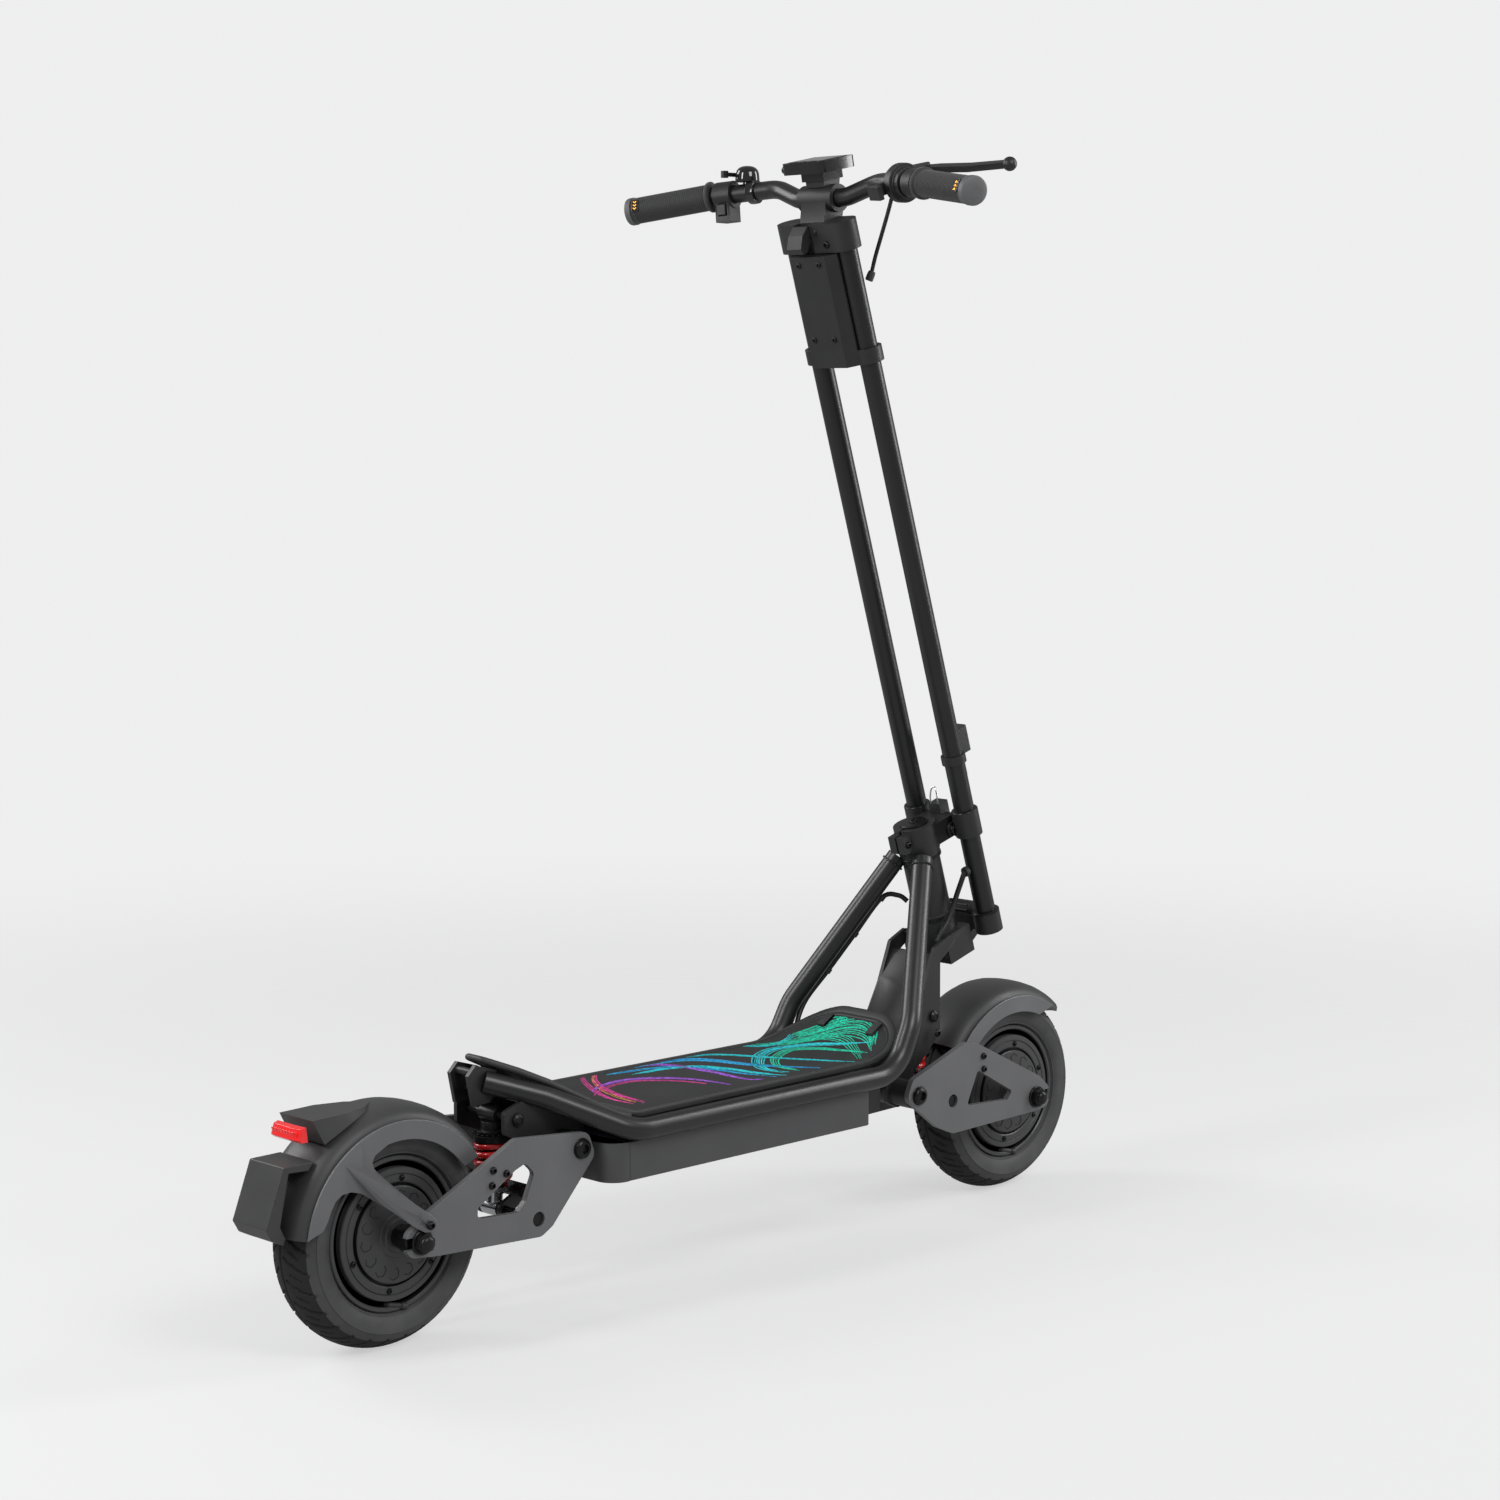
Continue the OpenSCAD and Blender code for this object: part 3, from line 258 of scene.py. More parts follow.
class Build:
    """Collects several shapes into one mesh."""

    def __init__(self):
        self.bm = bmesh.new()

    def grid(self, rows, closed_u=False, closed_v=False, mat=0):
        """Faces between rows of points; u runs along a row, v from row to row."""
        bm = self.bm
        vs = [[bm.verts.new(p) for p in r] for r in rows]
        nv, nu = len(vs), len(vs[0])
        for j in range(nv if closed_v else nv - 1):
            for i in range(nu if closed_u else nu - 1):
                a, b = vs[j][i], vs[j][(i + 1) % nu]
                c, d = vs[(j + 1) % nv][(i + 1) % nu], vs[(j + 1) % nv][i]
                f = bm.faces.new((a, b, c, d))
                f.material_index = mat(j, i) if callable(mat) else mat
        return vs

    def cap(self, verts, mat=0):
        """One face over the given vertices."""
        f = self.bm.faces.new(verts)
        f.material_index = mat

    def lathe(self, centre, axis, profile, segs=32, mat=0, hexes=()):
        """Turns (radius, height) points round an axis. Rows named in hexes are hexagons."""
        axis = Vector(axis).normalized()
        side = axis.orthogonal().normalized()
        other = axis.cross(side)
        rows = []
        for k, (r, h) in enumerate(profile):
            row = []
            for i in range(segs):
                t = 2 * math.pi * i / segs
                q = r
                if k in hexes:
                    q = r / math.cos((t + math.pi / 6) % (math.pi / 3) - math.pi / 6)
                row.append(Vector(centre) + axis * h + (side * math.cos(t) + other * math.sin(t)) * q)
            rows.append(row)
        vs = self.grid(rows, closed_u=True, mat=mat)
        m0 = mat(0, 0) if callable(mat) else mat
        m1 = mat(len(rows) - 2, 0) if callable(mat) else mat
        self.cap(vs[0][::-1], m0)
        self.cap(vs[-1], m1)

    def tube(self, pts, r, sides=12, mat=0, caps=True):
        """A round tube along the points. r is a radius, or a function of the share of the way."""
        pts = [Vector(p) for p in pts]
        rows = []
        n = None
        for i, p in enumerate(pts):
            t = (pts[min(i + 1, len(pts) - 1)] - pts[max(i - 1, 0)]).normalized()
            n = t.orthogonal().normalized() if n is None else (n - t * n.dot(t)).normalized()
            b = t.cross(n)
            q = r(i / (len(pts) - 1)) if callable(r) else r
            rows.append([p + (n * math.cos(a) + b * math.sin(a)) * q
                         for a in (2 * math.pi * k / sides for k in range(sides))])
        vs = self.grid(rows, closed_u=True, mat=mat)
        if caps:
            self.cap(vs[0][::-1], mat)
            self.cap(vs[-1], mat)

    def block(self, centre, size, x=(1, 0, 0), z=(0, 0, 1)):
        """A box with its own axes; it is bevelled when the mesh is finished."""
        x, z = Vector(x).normalized(), Vector(z).normalized()
        y = z.cross(x)
        c = Vector(centre)
        v = []
        for i in (-1, 1):
            for j in (-1, 1):
                for k in (-1, 1):
                    v.append(self.bm.verts.new(c + x * i * size[0] / 2 + y * j * size[1] / 2
                                               + z * k * size[2] / 2))
        for q in ((0, 2, 6, 4), (1, 5, 7, 3), (0, 4, 5, 1), (6, 2, 3, 7), (2, 0, 1, 3), (4, 6, 7, 5)):
            self.cap([v[n] for n in q])

    def plate(self, outline, origin, x, y, thick, bend=None):
        """Extrudes a flat outline (list of 2D points in metres) by thick along x cross y."""
        x, y = Vector(x).normalized(), Vector(y).normalized()
        n = x.cross(y)
        o = Vector(origin)
        low = [self.bm.verts.new(o + x * a + y * b) for a, b in outline]
        high = [self.bm.verts.new(o + x * a + y * b + n * thick) for a, b in outline]
        if bend:
            for v in low + high:
                v.co = bend(v.co)
        self.cap(low[::-1])
        self.cap(high)
        k = len(outline)
        for i in range(k):
            self.cap([low[i], low[(i + 1) % k], high[(i + 1) % k], high[i]])

    def screw(self, centre, axis, r, h):
        """Button-head cap screw with a hexagon socket; its radius and height are in mm."""
        r, h = r * MM, h * MM
        prof = [(r, 0), (r, h * 0.35), (r * 0.93, h * 0.62), (r * 0.78, h * 0.85), (r * 0.6, h * 0.98),
                (r * 0.52, h), (r * 0.47, h * 0.97), (r * 0.45, h * 0.3)]
        self.lathe(centre, axis, prof, 24, hexes=(6, 7))

    def done(self, name, body, mat, **kw):
        """Ends the mesh and places it."""
        bmesh.ops.recalc_face_normals(self.bm, faces=self.bm.faces)
        me = bpy.data.meshes.new(name)
        self.bm.to_mesh(me)
        self.bm.free()
        return finish_mesh(name, me, body, mat, **kw)


def smooth_path(pts, n=6):
    """Catmull-Rom curve through the points."""
    p = [Vector(q) for q in pts]
    out = []
    for i in range(len(p) - 1):
        a, b, c, d = p[max(i - 1, 0)], p[i], p[i + 1], p[min(i + 2, len(p) - 1)]
        for k in range(n):
            t = k / n
            out.append(0.5 * (2 * b + (c - a) * t + (2 * a - 5 * b + 4 * c - d) * t * t
                              + (3 * b - a - 3 * c + d) * t ** 3))
    out.append(p[-1])
    return out


def soft_outline(pts, r, n=5):
    """Rounds each corner of a closed outline. r is one radius or one for each corner."""
    out = []
    k = len(pts)
    for i in range(k):
        p = Vector(pts[i])
        a, c = Vector(pts[i - 1]), Vector(pts[(i + 1) % k])
        u, w = (a - p), (c - p)
        q = (r[i] if isinstance(r, (list, tuple)) else r)
        ang = u.angle(w)
        if q <= 0 or abs(math.pi - ang) < 0.02:
            out.append(tuple(p))
            continue
        back = min(q / math.tan(ang / 2), u.length * 0.48, w.length * 0.48)
        p1, p2 = p + u.normalized() * back, p + w.normalized() * back
        for j in range(n + 1):
            t = j / n
            out.append(tuple((p1 * (1 - t) + p * t) * (1 - t) + (p * (1 - t) + p2 * t) * t))
    return out


# ---------------------- kept CAD shapes, edges broken

# The edge width in mm of each node, by finish
EDGED = {
    "cast_black": {"frame_cross": 1.5, "fork_body": 0.8, "upper_crown": 1.2, "latch_hook": 0.8,
                   "hinge_collars": 0.8, "lower_yoke": 1.0, "top_yoke": 1.4, "fold_hook": 0.6,
                   "kickstand": 0.8, "rear_arm_bridge": 0.6, "front_arm_bridge": 0.6,
                   "brake_mount": 0.8, "brake_lever": 1.2, "head_tube": 0.8},
    "plate_grey": {"rear_arm_plates": 0.5, "front_arm_plates": 0.5},
    "guard_black": {"plate_holder": 1.2},
    "case_grey": {"battery_case": 1.6, "battery_end_cap": 1.6},
    "plastic_black": {"controller_case": 1.0, "headlight": 1.6, "stem_box": 1.2, "switch_button": 0.8,
                      "throttle_housing": 1.2, "throttle_paddle": 1.0},
    "steel_dark": {"rear_shock_body": 0.6, "front_shock_body": 0.6, "bell_striker": 0.5},
    "steel": {"rear_shock_rod": 0.4, "front_shock_rod": 0.4, "fork_steerer": 0.4, "hinge_pin": 0.4},
    "rubber_edge": {"deck_plate": 1.6},
}
for finish, group in EDGED.items():
    for node, width in group.items():
        bevelled(node, finish, width)
for node, finish in {"headset_bearings": "steel", "battery_pack": "cell_wrap", "stem_tubes": "tube_black",
                     "rear_axle": "steel_dark", "front_axle": "steel_dark"}.items():
    dress(node, finish)
bevelled("switch_pod", "plastic_black", 4.5, segs=4, angle=40)


# ---------------------- tubes, bar, cables, springs

def corner(a, b, c, r, n):
    """Points of the arc that rounds corner b."""
    a, b, c = Vector(a), Vector(b), Vector(c)
    u, w = (a - b).normalized(), (c - b).normalized()
    ang = u.angle(w)
    turn = math.pi - ang
    mid = b + (u + w).normalized() * (r / math.sin(ang / 2))
    e1 = (b + u * (r / math.tan(ang / 2)) - mid).normalized()
    e2 = (b + w * (r / math.tan(ang / 2)) - mid).normalized()
    return [mid + (e1 * math.sin((1 - k / n) * turn) + e2 * math.sin(k / n * turn)) * (r / math.sin(turn))
            for k in range(n + 1)]


# Frame rails: from the head tube down to the deck, along it, and up to the tail
RAIL = [(375, 23, 486), (257, 112, 288), (224, 115, 226.1), (-238, 115, 226.1), (-330, 55, 273),
        (-394, 16, 296)]
RAIL_BENDS = [(80, 5), (60, 14), (60, 10), (120, 4)]
RAIL_R = 0.014
path = [Vector(RAIL[0])]
for i, (bend_r, steps) in enumerate(RAIL_BENDS):
    path += corner(*RAIL[i:i + 3], bend_r, steps)
path.append(Vector(RAIL[-1]))
b = Build()
for s in (-1, 1):
    b.tube([at(p.x, p.y * s, p.z) for p in path], RAIL_R, 40)
tubes = b.done("frame_rails", "frame", "frame_paint", bevel=0.8)
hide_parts("frame_tubes")

# Weld beads where the rails meet the head tube
b = Build()
for s in (-1, 1):
    p0, p1 = [at(x, y * s, z) for x, y, z in RAIL[:2]]
    d = (p1 - p0).normalized()
    side = d.orthogonal().normalized()
    other = d.cross(side)
    ring = []
    for k in range(73):
        t = 2 * math.pi * k / 72
        ripple = 0.0145 + 0.0003 * math.cos(18 * t)
        ring.append(p0 + d * 0.012 + (side * math.cos(t) + other * math.sin(t)) * ripple)
    b.tube(ring, 0.0016, 8, caps=False)
b.done("head_welds", "frame", "frame_paint")

# Handlebar: one bent tube from grip to grip
BAR = [(205, 0, 1367), (206, 42, 1367), (215, 92, 1384), (190, 190, 1377), (152, 307, 1361)]
full = [(x, -y, z) for x, y, z in reversed(BAR)] + BAR[1:]
path = [Vector(full[0])]
for i in range(1, len(full) - 1):
    path += corner(full[i - 1], full[i], full[i + 1], 45, 8)
path.append(Vector(full[-1]))
b = Build()
b.tube([at(*p) for p in path], 0.012, 36)
bar = b.done("bar_tube", "stem", "frame_paint", bevel=0.5)
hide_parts("handlebar")


def cad_cable(name, node, pts, r, body):
    """The jacket of a cable along the route that CAD gives it."""
    b = Build()
    b.tube([at(*p) for p in smooth_path(pts)], r * MM, 16)
    ob = b.done(name, body, "cable")
    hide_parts(node)
    return ob


BRAKE_HOSE = [(232, -108, 1398), (236, -97, 1386), (240, -90, 1368), (240, -82, 1345),
              (240, -70, 1315), (239, -61, 1290), (236, -57, 1268)]
STEM_CABLE = [(440, -42, 464), (435, -40, 450), (427, -38, 430), (416, -37, 404),
              (403, -36, 387), (393.5, -34, 371.5)]
FRAME_CABLE = [(384, 13, 423), (376, 23, 431), (362, 41, 427), (332, 63, 378), (303, 86, 328),
               (279, 104, 289), (262, 104, 262), (248, 94, 240), (234, 82, 227)]
cad_cable("brake_hose_jacket", "brake_hose", BRAKE_HOSE, 2.6, "stem")
# The loom runs between the stem and the fork and rides on no body
loom = cad_cable("stem_cable_jacket", "stem_cable", STEM_CABLE, 3.6, None)
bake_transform(loom)
cad_cable("frame_cable_jacket", "frame_cables", FRAME_CABLE, 3.4, "frame")


def shock(tag, low, top, travel):
    """A smooth coil for the shock, and a preload collar with lugs."""
    lo, hi = Vector((low[0], 0, low[1])), Vector((top[0], 0, top[1]))
    length = (hi - lo).length
    z = (hi - lo).normalized()
    x = Vector((z.z, 0, -z.x))
    y = Vector((0, 1, 0))

    def place(a, c, h):
        """A point beside the top eye: a and c across the shock, h along it."""
        q = hi + x * a + y * c + z * h
        return at(q.x, q.y, q.z)

    wire, turns, steps = 4.0, 5, 40
    top_seat, low_seat, seat_gap = -32, 29, 0.2
    z1, z0 = top_seat - wire - seat_gap, -length + low_seat + wire + seat_gap + 1.5
    r = 24 - wire
    pts = []
    for i in range(turns * steps + 1):
        rise = min(1, max(0, (i / (turns * steps) - 0.08) / 0.84))
        a = 2 * math.pi * i / steps
        pts.append(place(r * math.cos(a), r * math.sin(a), z0 + (z1 - z0) * rise))
    b = Build()
    b.tube(pts, wire * MM, 14)
    coil = b.done(tag + "_coil", rides_on(tag + "_spring"), "spring_red", bevel=0.4)
    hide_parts(tag + "_spring")
    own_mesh(coil)
    b = Build()
    lugs, lug_at = 20, 21.6
    for i in range(lugs):
        a = 2 * math.pi * i / lugs
        b.block(place(lug_at * math.cos(a), lug_at * math.sin(a), -23.2),
                (0.0035, 0.0035, 0.003), x=(x * math.cos(a) + y * math.sin(a)), z=z)
    b.lathe(place(0, 0, -22.5), z, [(0.0165, 0), (0.0195, 0.0006), (0.0195, 0.0035), (0.0165, 0.0045)], 40)
    b.done(tag + "_preload_collar", rides_on(tag + "_shock_body"), "steel_dark", bevel=0.4)


REAR_EYES = (-366, 134), (-368, 250)
FRONT_EYES = (372, 161), (375, 272)
shock("rear", *REAR_EYES, 11.6)
shock("front", *FRONT_EYES, 11.2)


# ---------------------- wheels

def groove(w, lean):
    """Depth of the tread's cut at w mm from the middle, lean being the place within one pitch."""
    if w < 1.2:
        return 2.2
    if 5 < w < 30 and lean < 0.13:
        return 3.4
    if 12 < w < 24 and 0.5 < lean < 0.6:
        return 2.6
    if 30 <= w < 33.5 and lean < 0.2:
        return 1.6
    return 0.0


def tyre(tag, x):
    """Road tyre: a round carcass with angled sipes, shoulder notches and a ring at each bead."""
    pitches, per = 30, 16
    n = pitches * per
    wall = [(-26, 93), (-31, 94.5), (-34.5, 98), (-37, 104), (-38.4, 110.5), (-38.9, 117)]
    crown = []
    steps, half_arc = 52, 66
    for i in range(steps + 1):
        a = math.radians(-half_arc + 2 * half_arc * i / steps)
        crown.append((38.6 * math.sin(a) / math.sin(math.radians(half_arc)), 101 + 39 * math.cos(a) ** 1.06))
    rows = []
    for j in range(n):
        th = 2 * math.pi * j / n
        ph = (j % per) / per
        ring = list(wall)
        for w, r in crown:
            lean = (ph + (0.5 if w > 0 else 0.0) - abs(w) * 0.03) % 1.0
            ring.append((w, r - groove(abs(w), lean)))
        ring += [(-w, r) for w, r in reversed(wall)]
        rows.append([at(x + r * math.cos(th), w, AXLE_Z + r * math.sin(th)) for w, r in ring])
    count = len(rows[0])
    edge = len(wall) + 7

    def zone(j, i):
        """The sidewall's finish near the beads, the tread's between them."""
        return 1 if (i < edge or i >= count - 1 - edge) else 0

    b = Build()
    b.grid(rows, closed_v=True, mat=zone)
    for s in (-1, 1):
        for r0, w, h in ((96.5, 33.4, 0.8), (116.5, 38.7, 0.5)):
            ring = []
            for k in range(121):
                t = 2 * math.pi * k / 120
                ring.append(at(x + r0 * math.cos(t), s * w, AXLE_Z + r0 * math.sin(t)))
            b.tube(ring, h * MM, 8, mat=1, caps=False)
    ob = b.done(tag + "_tyre_carcass", rides_on(tag + "_tyre"), ["tyre", "sidewall"], angle=38)
    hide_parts(tag + "_tyre")


def hub(tag, x):
    """Hub motor: rim, recessed well, cover with six screws, scalloped ribs, boss and valve."""
    body = rides_on(tag + "_hub")
    b = Build()
    c = at(x, 0, AXLE_Z)
    for s in (-1, 1):
        ax = Vector((0, s, 0))
        prof = [(93, 20), (93, 31), (91.6, 32.4), (88.4, 32.4), (87, 31), (86, 20), (81, 19), (79.6, 22),
                (79.6, 33), (78.6, 34.4), (74, 34.8), (72.5, 34.8), (71.5, 33.6), (70.6, 34.8), (63, 35.2),
                (61.6, 34.4), (61, 30), (58.6, 30), (58, 36.4), (56.8, 37.6), (30, 40), (27, 40),
                (26, 41.4), (21, 41.6), (19.6, 43.8), (15, 44)]
        b.lathe(c, ax, [(r * MM, h * MM) for r, h in prof], 128,
                mat=lambda j, i: 1 if 4 <= j <= 6 or 15 <= j <= 17 else 0)
    ob = b.done(tag + "_motor_covers", body, ["hub_grey", "hub_dark"], angle=28)
    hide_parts(tag + "_hub")
    b = Build()
    b.lathe(c - Vector((0, 0.0255, 0)), (0, 1, 0), [(0.0926, 0), (0.0926, 0.051), (0.089, 0.051), (0.089, 0)],
            96)
    b.done(tag + "_rim_barrel", body, "hub_dark")
    # Ribs on the inner disc: open scallops in a ring
    ribs = 14
    b = Build()
    for s in (-1, 1):
        for k in range(ribs):
            a0 = 2 * math.pi * k / ribs + 0.1
            pts = []
            for dr, dt in ((5.5, -0.10), (8.5, 0.0), (5.0, 0.11), (-3.0, 0.12), (-6.5, 0.02)):
                r = 45 + dr
                t = a0 + dt * 1.2
                h = 37.6 + (56.8 - r) * (2.4 / 26.8)
                pts.append(c + Vector((r * math.cos(t) * MM, s * h * MM, r * math.sin(t) * MM)))
            b.tube(pts, 0.0006, 6)
    b.done(tag + "_motor_ribs", body, "hub_dark")
    screws, screw_at = 6, 67
    b = Build()
    for s in (-1, 1):
        for k in range(screws):
            a = 2 * math.pi * (k + 0.35) / screws
            p = c + Vector((screw_at * math.cos(a) * MM, s * 35.0 * MM, screw_at * math.sin(a) * MM))
            b.lathe(p, (0, s, 0), [(0.0042, -0.0005), (0.0042, 0.0003), (0.0034, 0.0004)], 20)
            b.screw(p, (0, s, 0), 3.1, 2.6)
    b.done(tag + "_motor_screws", body, "steel_dark")
    # Angled valve in the right side's well, with its cap
    t, turn = math.radians(-96), 1.45
    e = Vector((math.cos(t + turn), 0, math.sin(t + turn)))
    p = c + Vector((math.cos(t), 0, math.sin(t))) * 0.0845 + Vector((0, -0.024, 0))

    def valve(along, out):
        """A point of the valve: out of the well, and along the rim."""
        return p + e * along + Vector((0, -out, 0))

    b = Build()
    b.tube([p, valve(0.002, 0.004), valve(0.010, 0.006), valve(0.022, 0.007)],
           lambda u: 0.0034 if u < 0.9 else 0.003, 14)
    b.lathe(valve(0.018, 0.007), e, [(0.0036, 0), (0.0042, 0.0006), (0.0042, 0.008), (0.003, 0.0096)], 16)
    b.done(tag + "_valve", body, "rubber_edge")


for tag, x in (("rear", -AXLE_X), ("front", AXLE_X)):
    tyre(tag, x)
    hub(tag, x)


# ---------------------- swingarm bolts

def arm_bolts(tag, pivot, eye, ax, screws):
    """Button heads on the pivot, the eye bolt, plate screws, axle washers, hexagon nuts and dome caps."""
    b = Build()
    for s in (-1, 1):
        y = Vector((0, s, 0))
        b.tube([at(pivot[0], 0, pivot[1]), at(pivot[0], s * 84, pivot[1])], 0.008, 24)
        b.tube([at(eye[0], 0, eye[1]), at(eye[0], s * 78, eye[1])], 0.005, 20)
        b.lathe(at(pivot[0], s * 84, pivot[1]), y, [(0.013, 0), (0.013, 0.0008), (0.0125, 0.0012)], 32)
        b.screw(at(pivot[0], s * 85, pivot[1]), y, 12, 6)
        b.lathe(at(eye[0], s * 77, eye[1]), y,
                [(0.009, 0), (0.009, 0.0032), (0.0078, 0.004), (0.006, 0.004)], 32)
        for p in screws:
            b.screw(at(p[0], s * 84, p[1]), y, 4.6, 4)
        c = at(ax, s * 84.2, AXLE_Z)
        b.lathe(c, y, [(0.015, 0), (0.015, 0.0024), (0.0142, 0.003), (0.009, 0.003)], 40)
        b.lathe(c + y * 0.003, y, [(0.0105, 0), (0.011, 0.0006), (0.011, 0.0068), (0.0102, 0.008)], 48,
                hexes=(0, 1, 2, 3))
        b.lathe(c + y * 0.011, y, [(0.0098, 0), (0.0096, 0.0010), (0.0086, 0.0030), (0.0064, 0.0044),
                                   (0.0034, 0.0050), (0.001, 0.0051)], 32)
        b.lathe(at(ax, s * 58.4, AXLE_Z), y,
                [(0.014, 0), (0.017, 0.001), (0.017, 0.0165), (0.0155, 0.0174), (0.012, 0.0174)], 40)
        b.lathe(at(ax, s * 46, AXLE_Z), y,
                [(0.0138, 0), (0.0145, 0.001), (0.0145, 0.011), (0.0138, 0.012)], 32)
    ob = b.done(tag + "_arm_fasteners", tag + "_arm", "steel_dark", bevel=0.3)
    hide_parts(tag + "_arm_bolts")


FRONT_PIVOT = (304, 179)
arm_bolts("rear", (-297, 209), REAR_EYES[0], -AXLE_X, [(-436, 206), (-416, 199), (-438, 188)])
arm_bolts("front", FRONT_PIVOT, FRONT_EYES[0], AXLE_X, [(433, 214), (434, 196)])
# Sockets in the heads of the shocks' upper bolts
b = Build()
for p, y in ((REAR_EYES[1], 48.4), (FRONT_EYES[1], 44.4)):
    for s in (-1, 1):
        b.screw(at(p[0], s * (y + 4.2), p[1]), (0, s, 0), 6.0, 1.6)
b.done("shock_bolt_sockets_rear", "rear_shock_body", "steel_dark")


# ---------------------- mudguards

def guard(name, ax, a0, a1, body, hood=None):
    """A rounded shell round the wheel, thin at its rims."""
    rim_r = 120
    outer = [(rim_r, 46.4), (128, 46.8), (136, 46.6), (141, 45), (146, 40.5), (150, 33), (152.6, 24),
             (154, 12), (154.4, 0)]
    inner = [(rim_r, 44.4), (128, 44.6), (136, 44.2), (140, 42.6), (144.5, 38), (148, 31), (150.3, 22.5),
             (151.6, 12), (152, 0)]
    sec = outer + [(r, -w) for r, w in reversed(outer[:-1])]
    sec2 = inner + [(r, -w) for r, w in reversed(inner[:-1])]
    loop = sec + sec2[::-1]
    n, round_off = 90, 14
    rows = []
    for j in range(n + 1):
        u = j / n
        t = math.radians(a0 + (a1 - a0) * u)
        end = min(u, 1 - u) * (a1 - a0)
        row = []
        for r, w in loop:
            if r < 136 and abs(w) > 40 and end < round_off:
                r = max(r, rim_r + (round_off - end) * 1.1)
            row.append(at(ax + r * math.cos(t), w, AXLE_Z + r * math.sin(t)))
        rows.append(row)
    b = Build()
    vs = b.grid(rows, closed_u=True)
    m = len(sec)
    for ring in (vs[0], vs[-1]):
        for i in range(m - 1):
            b.cap([ring[i], ring[i + 1], ring[-2 - i], ring[-1 - i]])
    if hood:
        hood(b)
    return b.done(name, body, "guard_black", bevel=0.5, angle=34)


def rear_hood(b):
    """Flat wedge over the tail light, running forward into the guard's crown."""
    prof = [(-556, 294.6, 4), (-575, 294.6, 20), (-610, 294.4, 31), (-658, 293, 32)]
    low = [(-556, 292, 4), (-575, 289, 22), (-610, 279, 34), (-642, 263, 33)]
    rows = []
    for (x, z, w), (x2, z2, w2) in zip(prof, low):
        rows.append([at(x2, -w2, z2), at(x, -w, z), at(x, w, z), at(x2, w2, z2)])
    vs = b.grid(rows)
    b.cap(vs[0])
    b.cap(vs[-1][::-1])
    for j in range(len(vs) - 1):
        b.cap([vs[j][0], vs[j][3], vs[j + 1][3], vs[j + 1][0]])


g = guard("rear_guard_shell", -AXLE_X, 38, 172, "rear_arm", rear_hood)
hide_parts("rear_mudguard")
g = guard("front_guard_shell", AXLE_X, 50, 147, "front_arm")
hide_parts("front_mudguard")


def skirt(name, band, body, lean):
    """Painted side skirt: a band on the guard's side, whose arm leans out to the swingarm."""
    thick = 0.0030
    outline = [(x * MM, z * MM) for x, z in band]
    b = Build()
    for s in (-1, 1):

        def lift(co, s=s):
            t = lean(co.x / MM - FOOT_X, co.z / MM)
            return Vector((co.x - 25 * MM * t, co.y + s * 40.5 * MM * t, co.z + 11 * MM * t))

        o = at(0, s * 47, 0)
        if s < 0:
            b.plate(outline, o, (1, 0, 0), (0, 0, 1), thick, bend=lift)
        else:
            b.plate(outline[::-1], o + Vector((0, thick, 0)), (1, 0, 0), (0, 0, 1), thick, bend=lift)
    return b.done(name, body, "stay_grey", bevel=0.9, segs=3, angle=34)


def arc(ax, r, a0, a1, n):
    """Points round an axle, between two angles in degrees."""
    turns = [math.radians(a0 + (a1 - a0) * k / n) for k in range(n + 1)]
    return [(ax + r * math.cos(t), AXLE_Z + r * math.sin(t)) for t in turns]


def rear_lean(x, z):
    """How far the rear skirt's arm leans out: not at all on the band, fully at its bolt."""
    t = max(0.0, min(1.0, (x + 592) / 64.0)) if math.hypot(x + AXLE_X, z - AXLE_Z) < 108 else 0.0
    return t * t * (3 - 2 * t)


SKIRT_OUT, SKIRT_IN = 137.5, 114.5
outer = arc(-AXLE_X, SKIRT_OUT, 34, 172, 46)
inner_top = arc(-AXLE_X, SKIRT_IN, 100, 36, 22)
# The arm's outline, from the band's inner edge round the bolt and back
arm_in = [(-583, 243), (-587, 236), (-585, 228), (-568, 210), (-551, 194), (-530, 176), (-508, 160),
          (-500, 152), (-500, 145), (-507, 140), (-518, 141), (-531, 149), (-548, 162), (-570, 179),
          (-590, 193), (-604, 202), (-618, 206), (-631, 205), (-640, 199), (-646, 190), (-652, 177),
          (-659, 167)]
g = skirt("rear_guard_skirts", outer + [(-677, 161)] + arm_in[::-1] + inner_top,
          "rear_arm", rear_lean)
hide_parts("mudguard_stays")
outer = arc(AXLE_X, SKIRT_OUT, 56, 146, 32)
inner = arc(AXLE_X, SKIRT_IN, 144, 66, 28)
skirt("front_guard_skirts", outer + inner, "front_arm", lambda x, z: 0.0)
b = Build()
for s in (-1, 1):
    b.screw(at(-535, s * 90.2, 159.5), (0, s, 0), 5.2, 4)
    b.lathe(at(433, s * 46, 214), (0, s, 0), [(0.006, 0), (0.006, 0.030)], 20)
b.done("guard_screws", "rear_arm", "steel_dark")


# ---------------------- tail light

LENS_HALF = 27
b = Build()
rows = []
for y in [-LENS_HALF + 2 * LENS_HALF * k / 12 for k in range(13)]:
    bow = 0.10 * (abs(y) / LENS_HALF) ** 4
    rows.append([at(-664.5 + bow * 12, y, 286), at(-672 + bow * 20, y, 284), at(-676.4 + bow * 24, y, 271.5),
                 at(-671 + bow * 12, y, 268), at(-661, y, 268)])
vs = b.grid(rows, closed_u=True)
b.cap(vs[0])
b.cap(vs[-1][::-1])
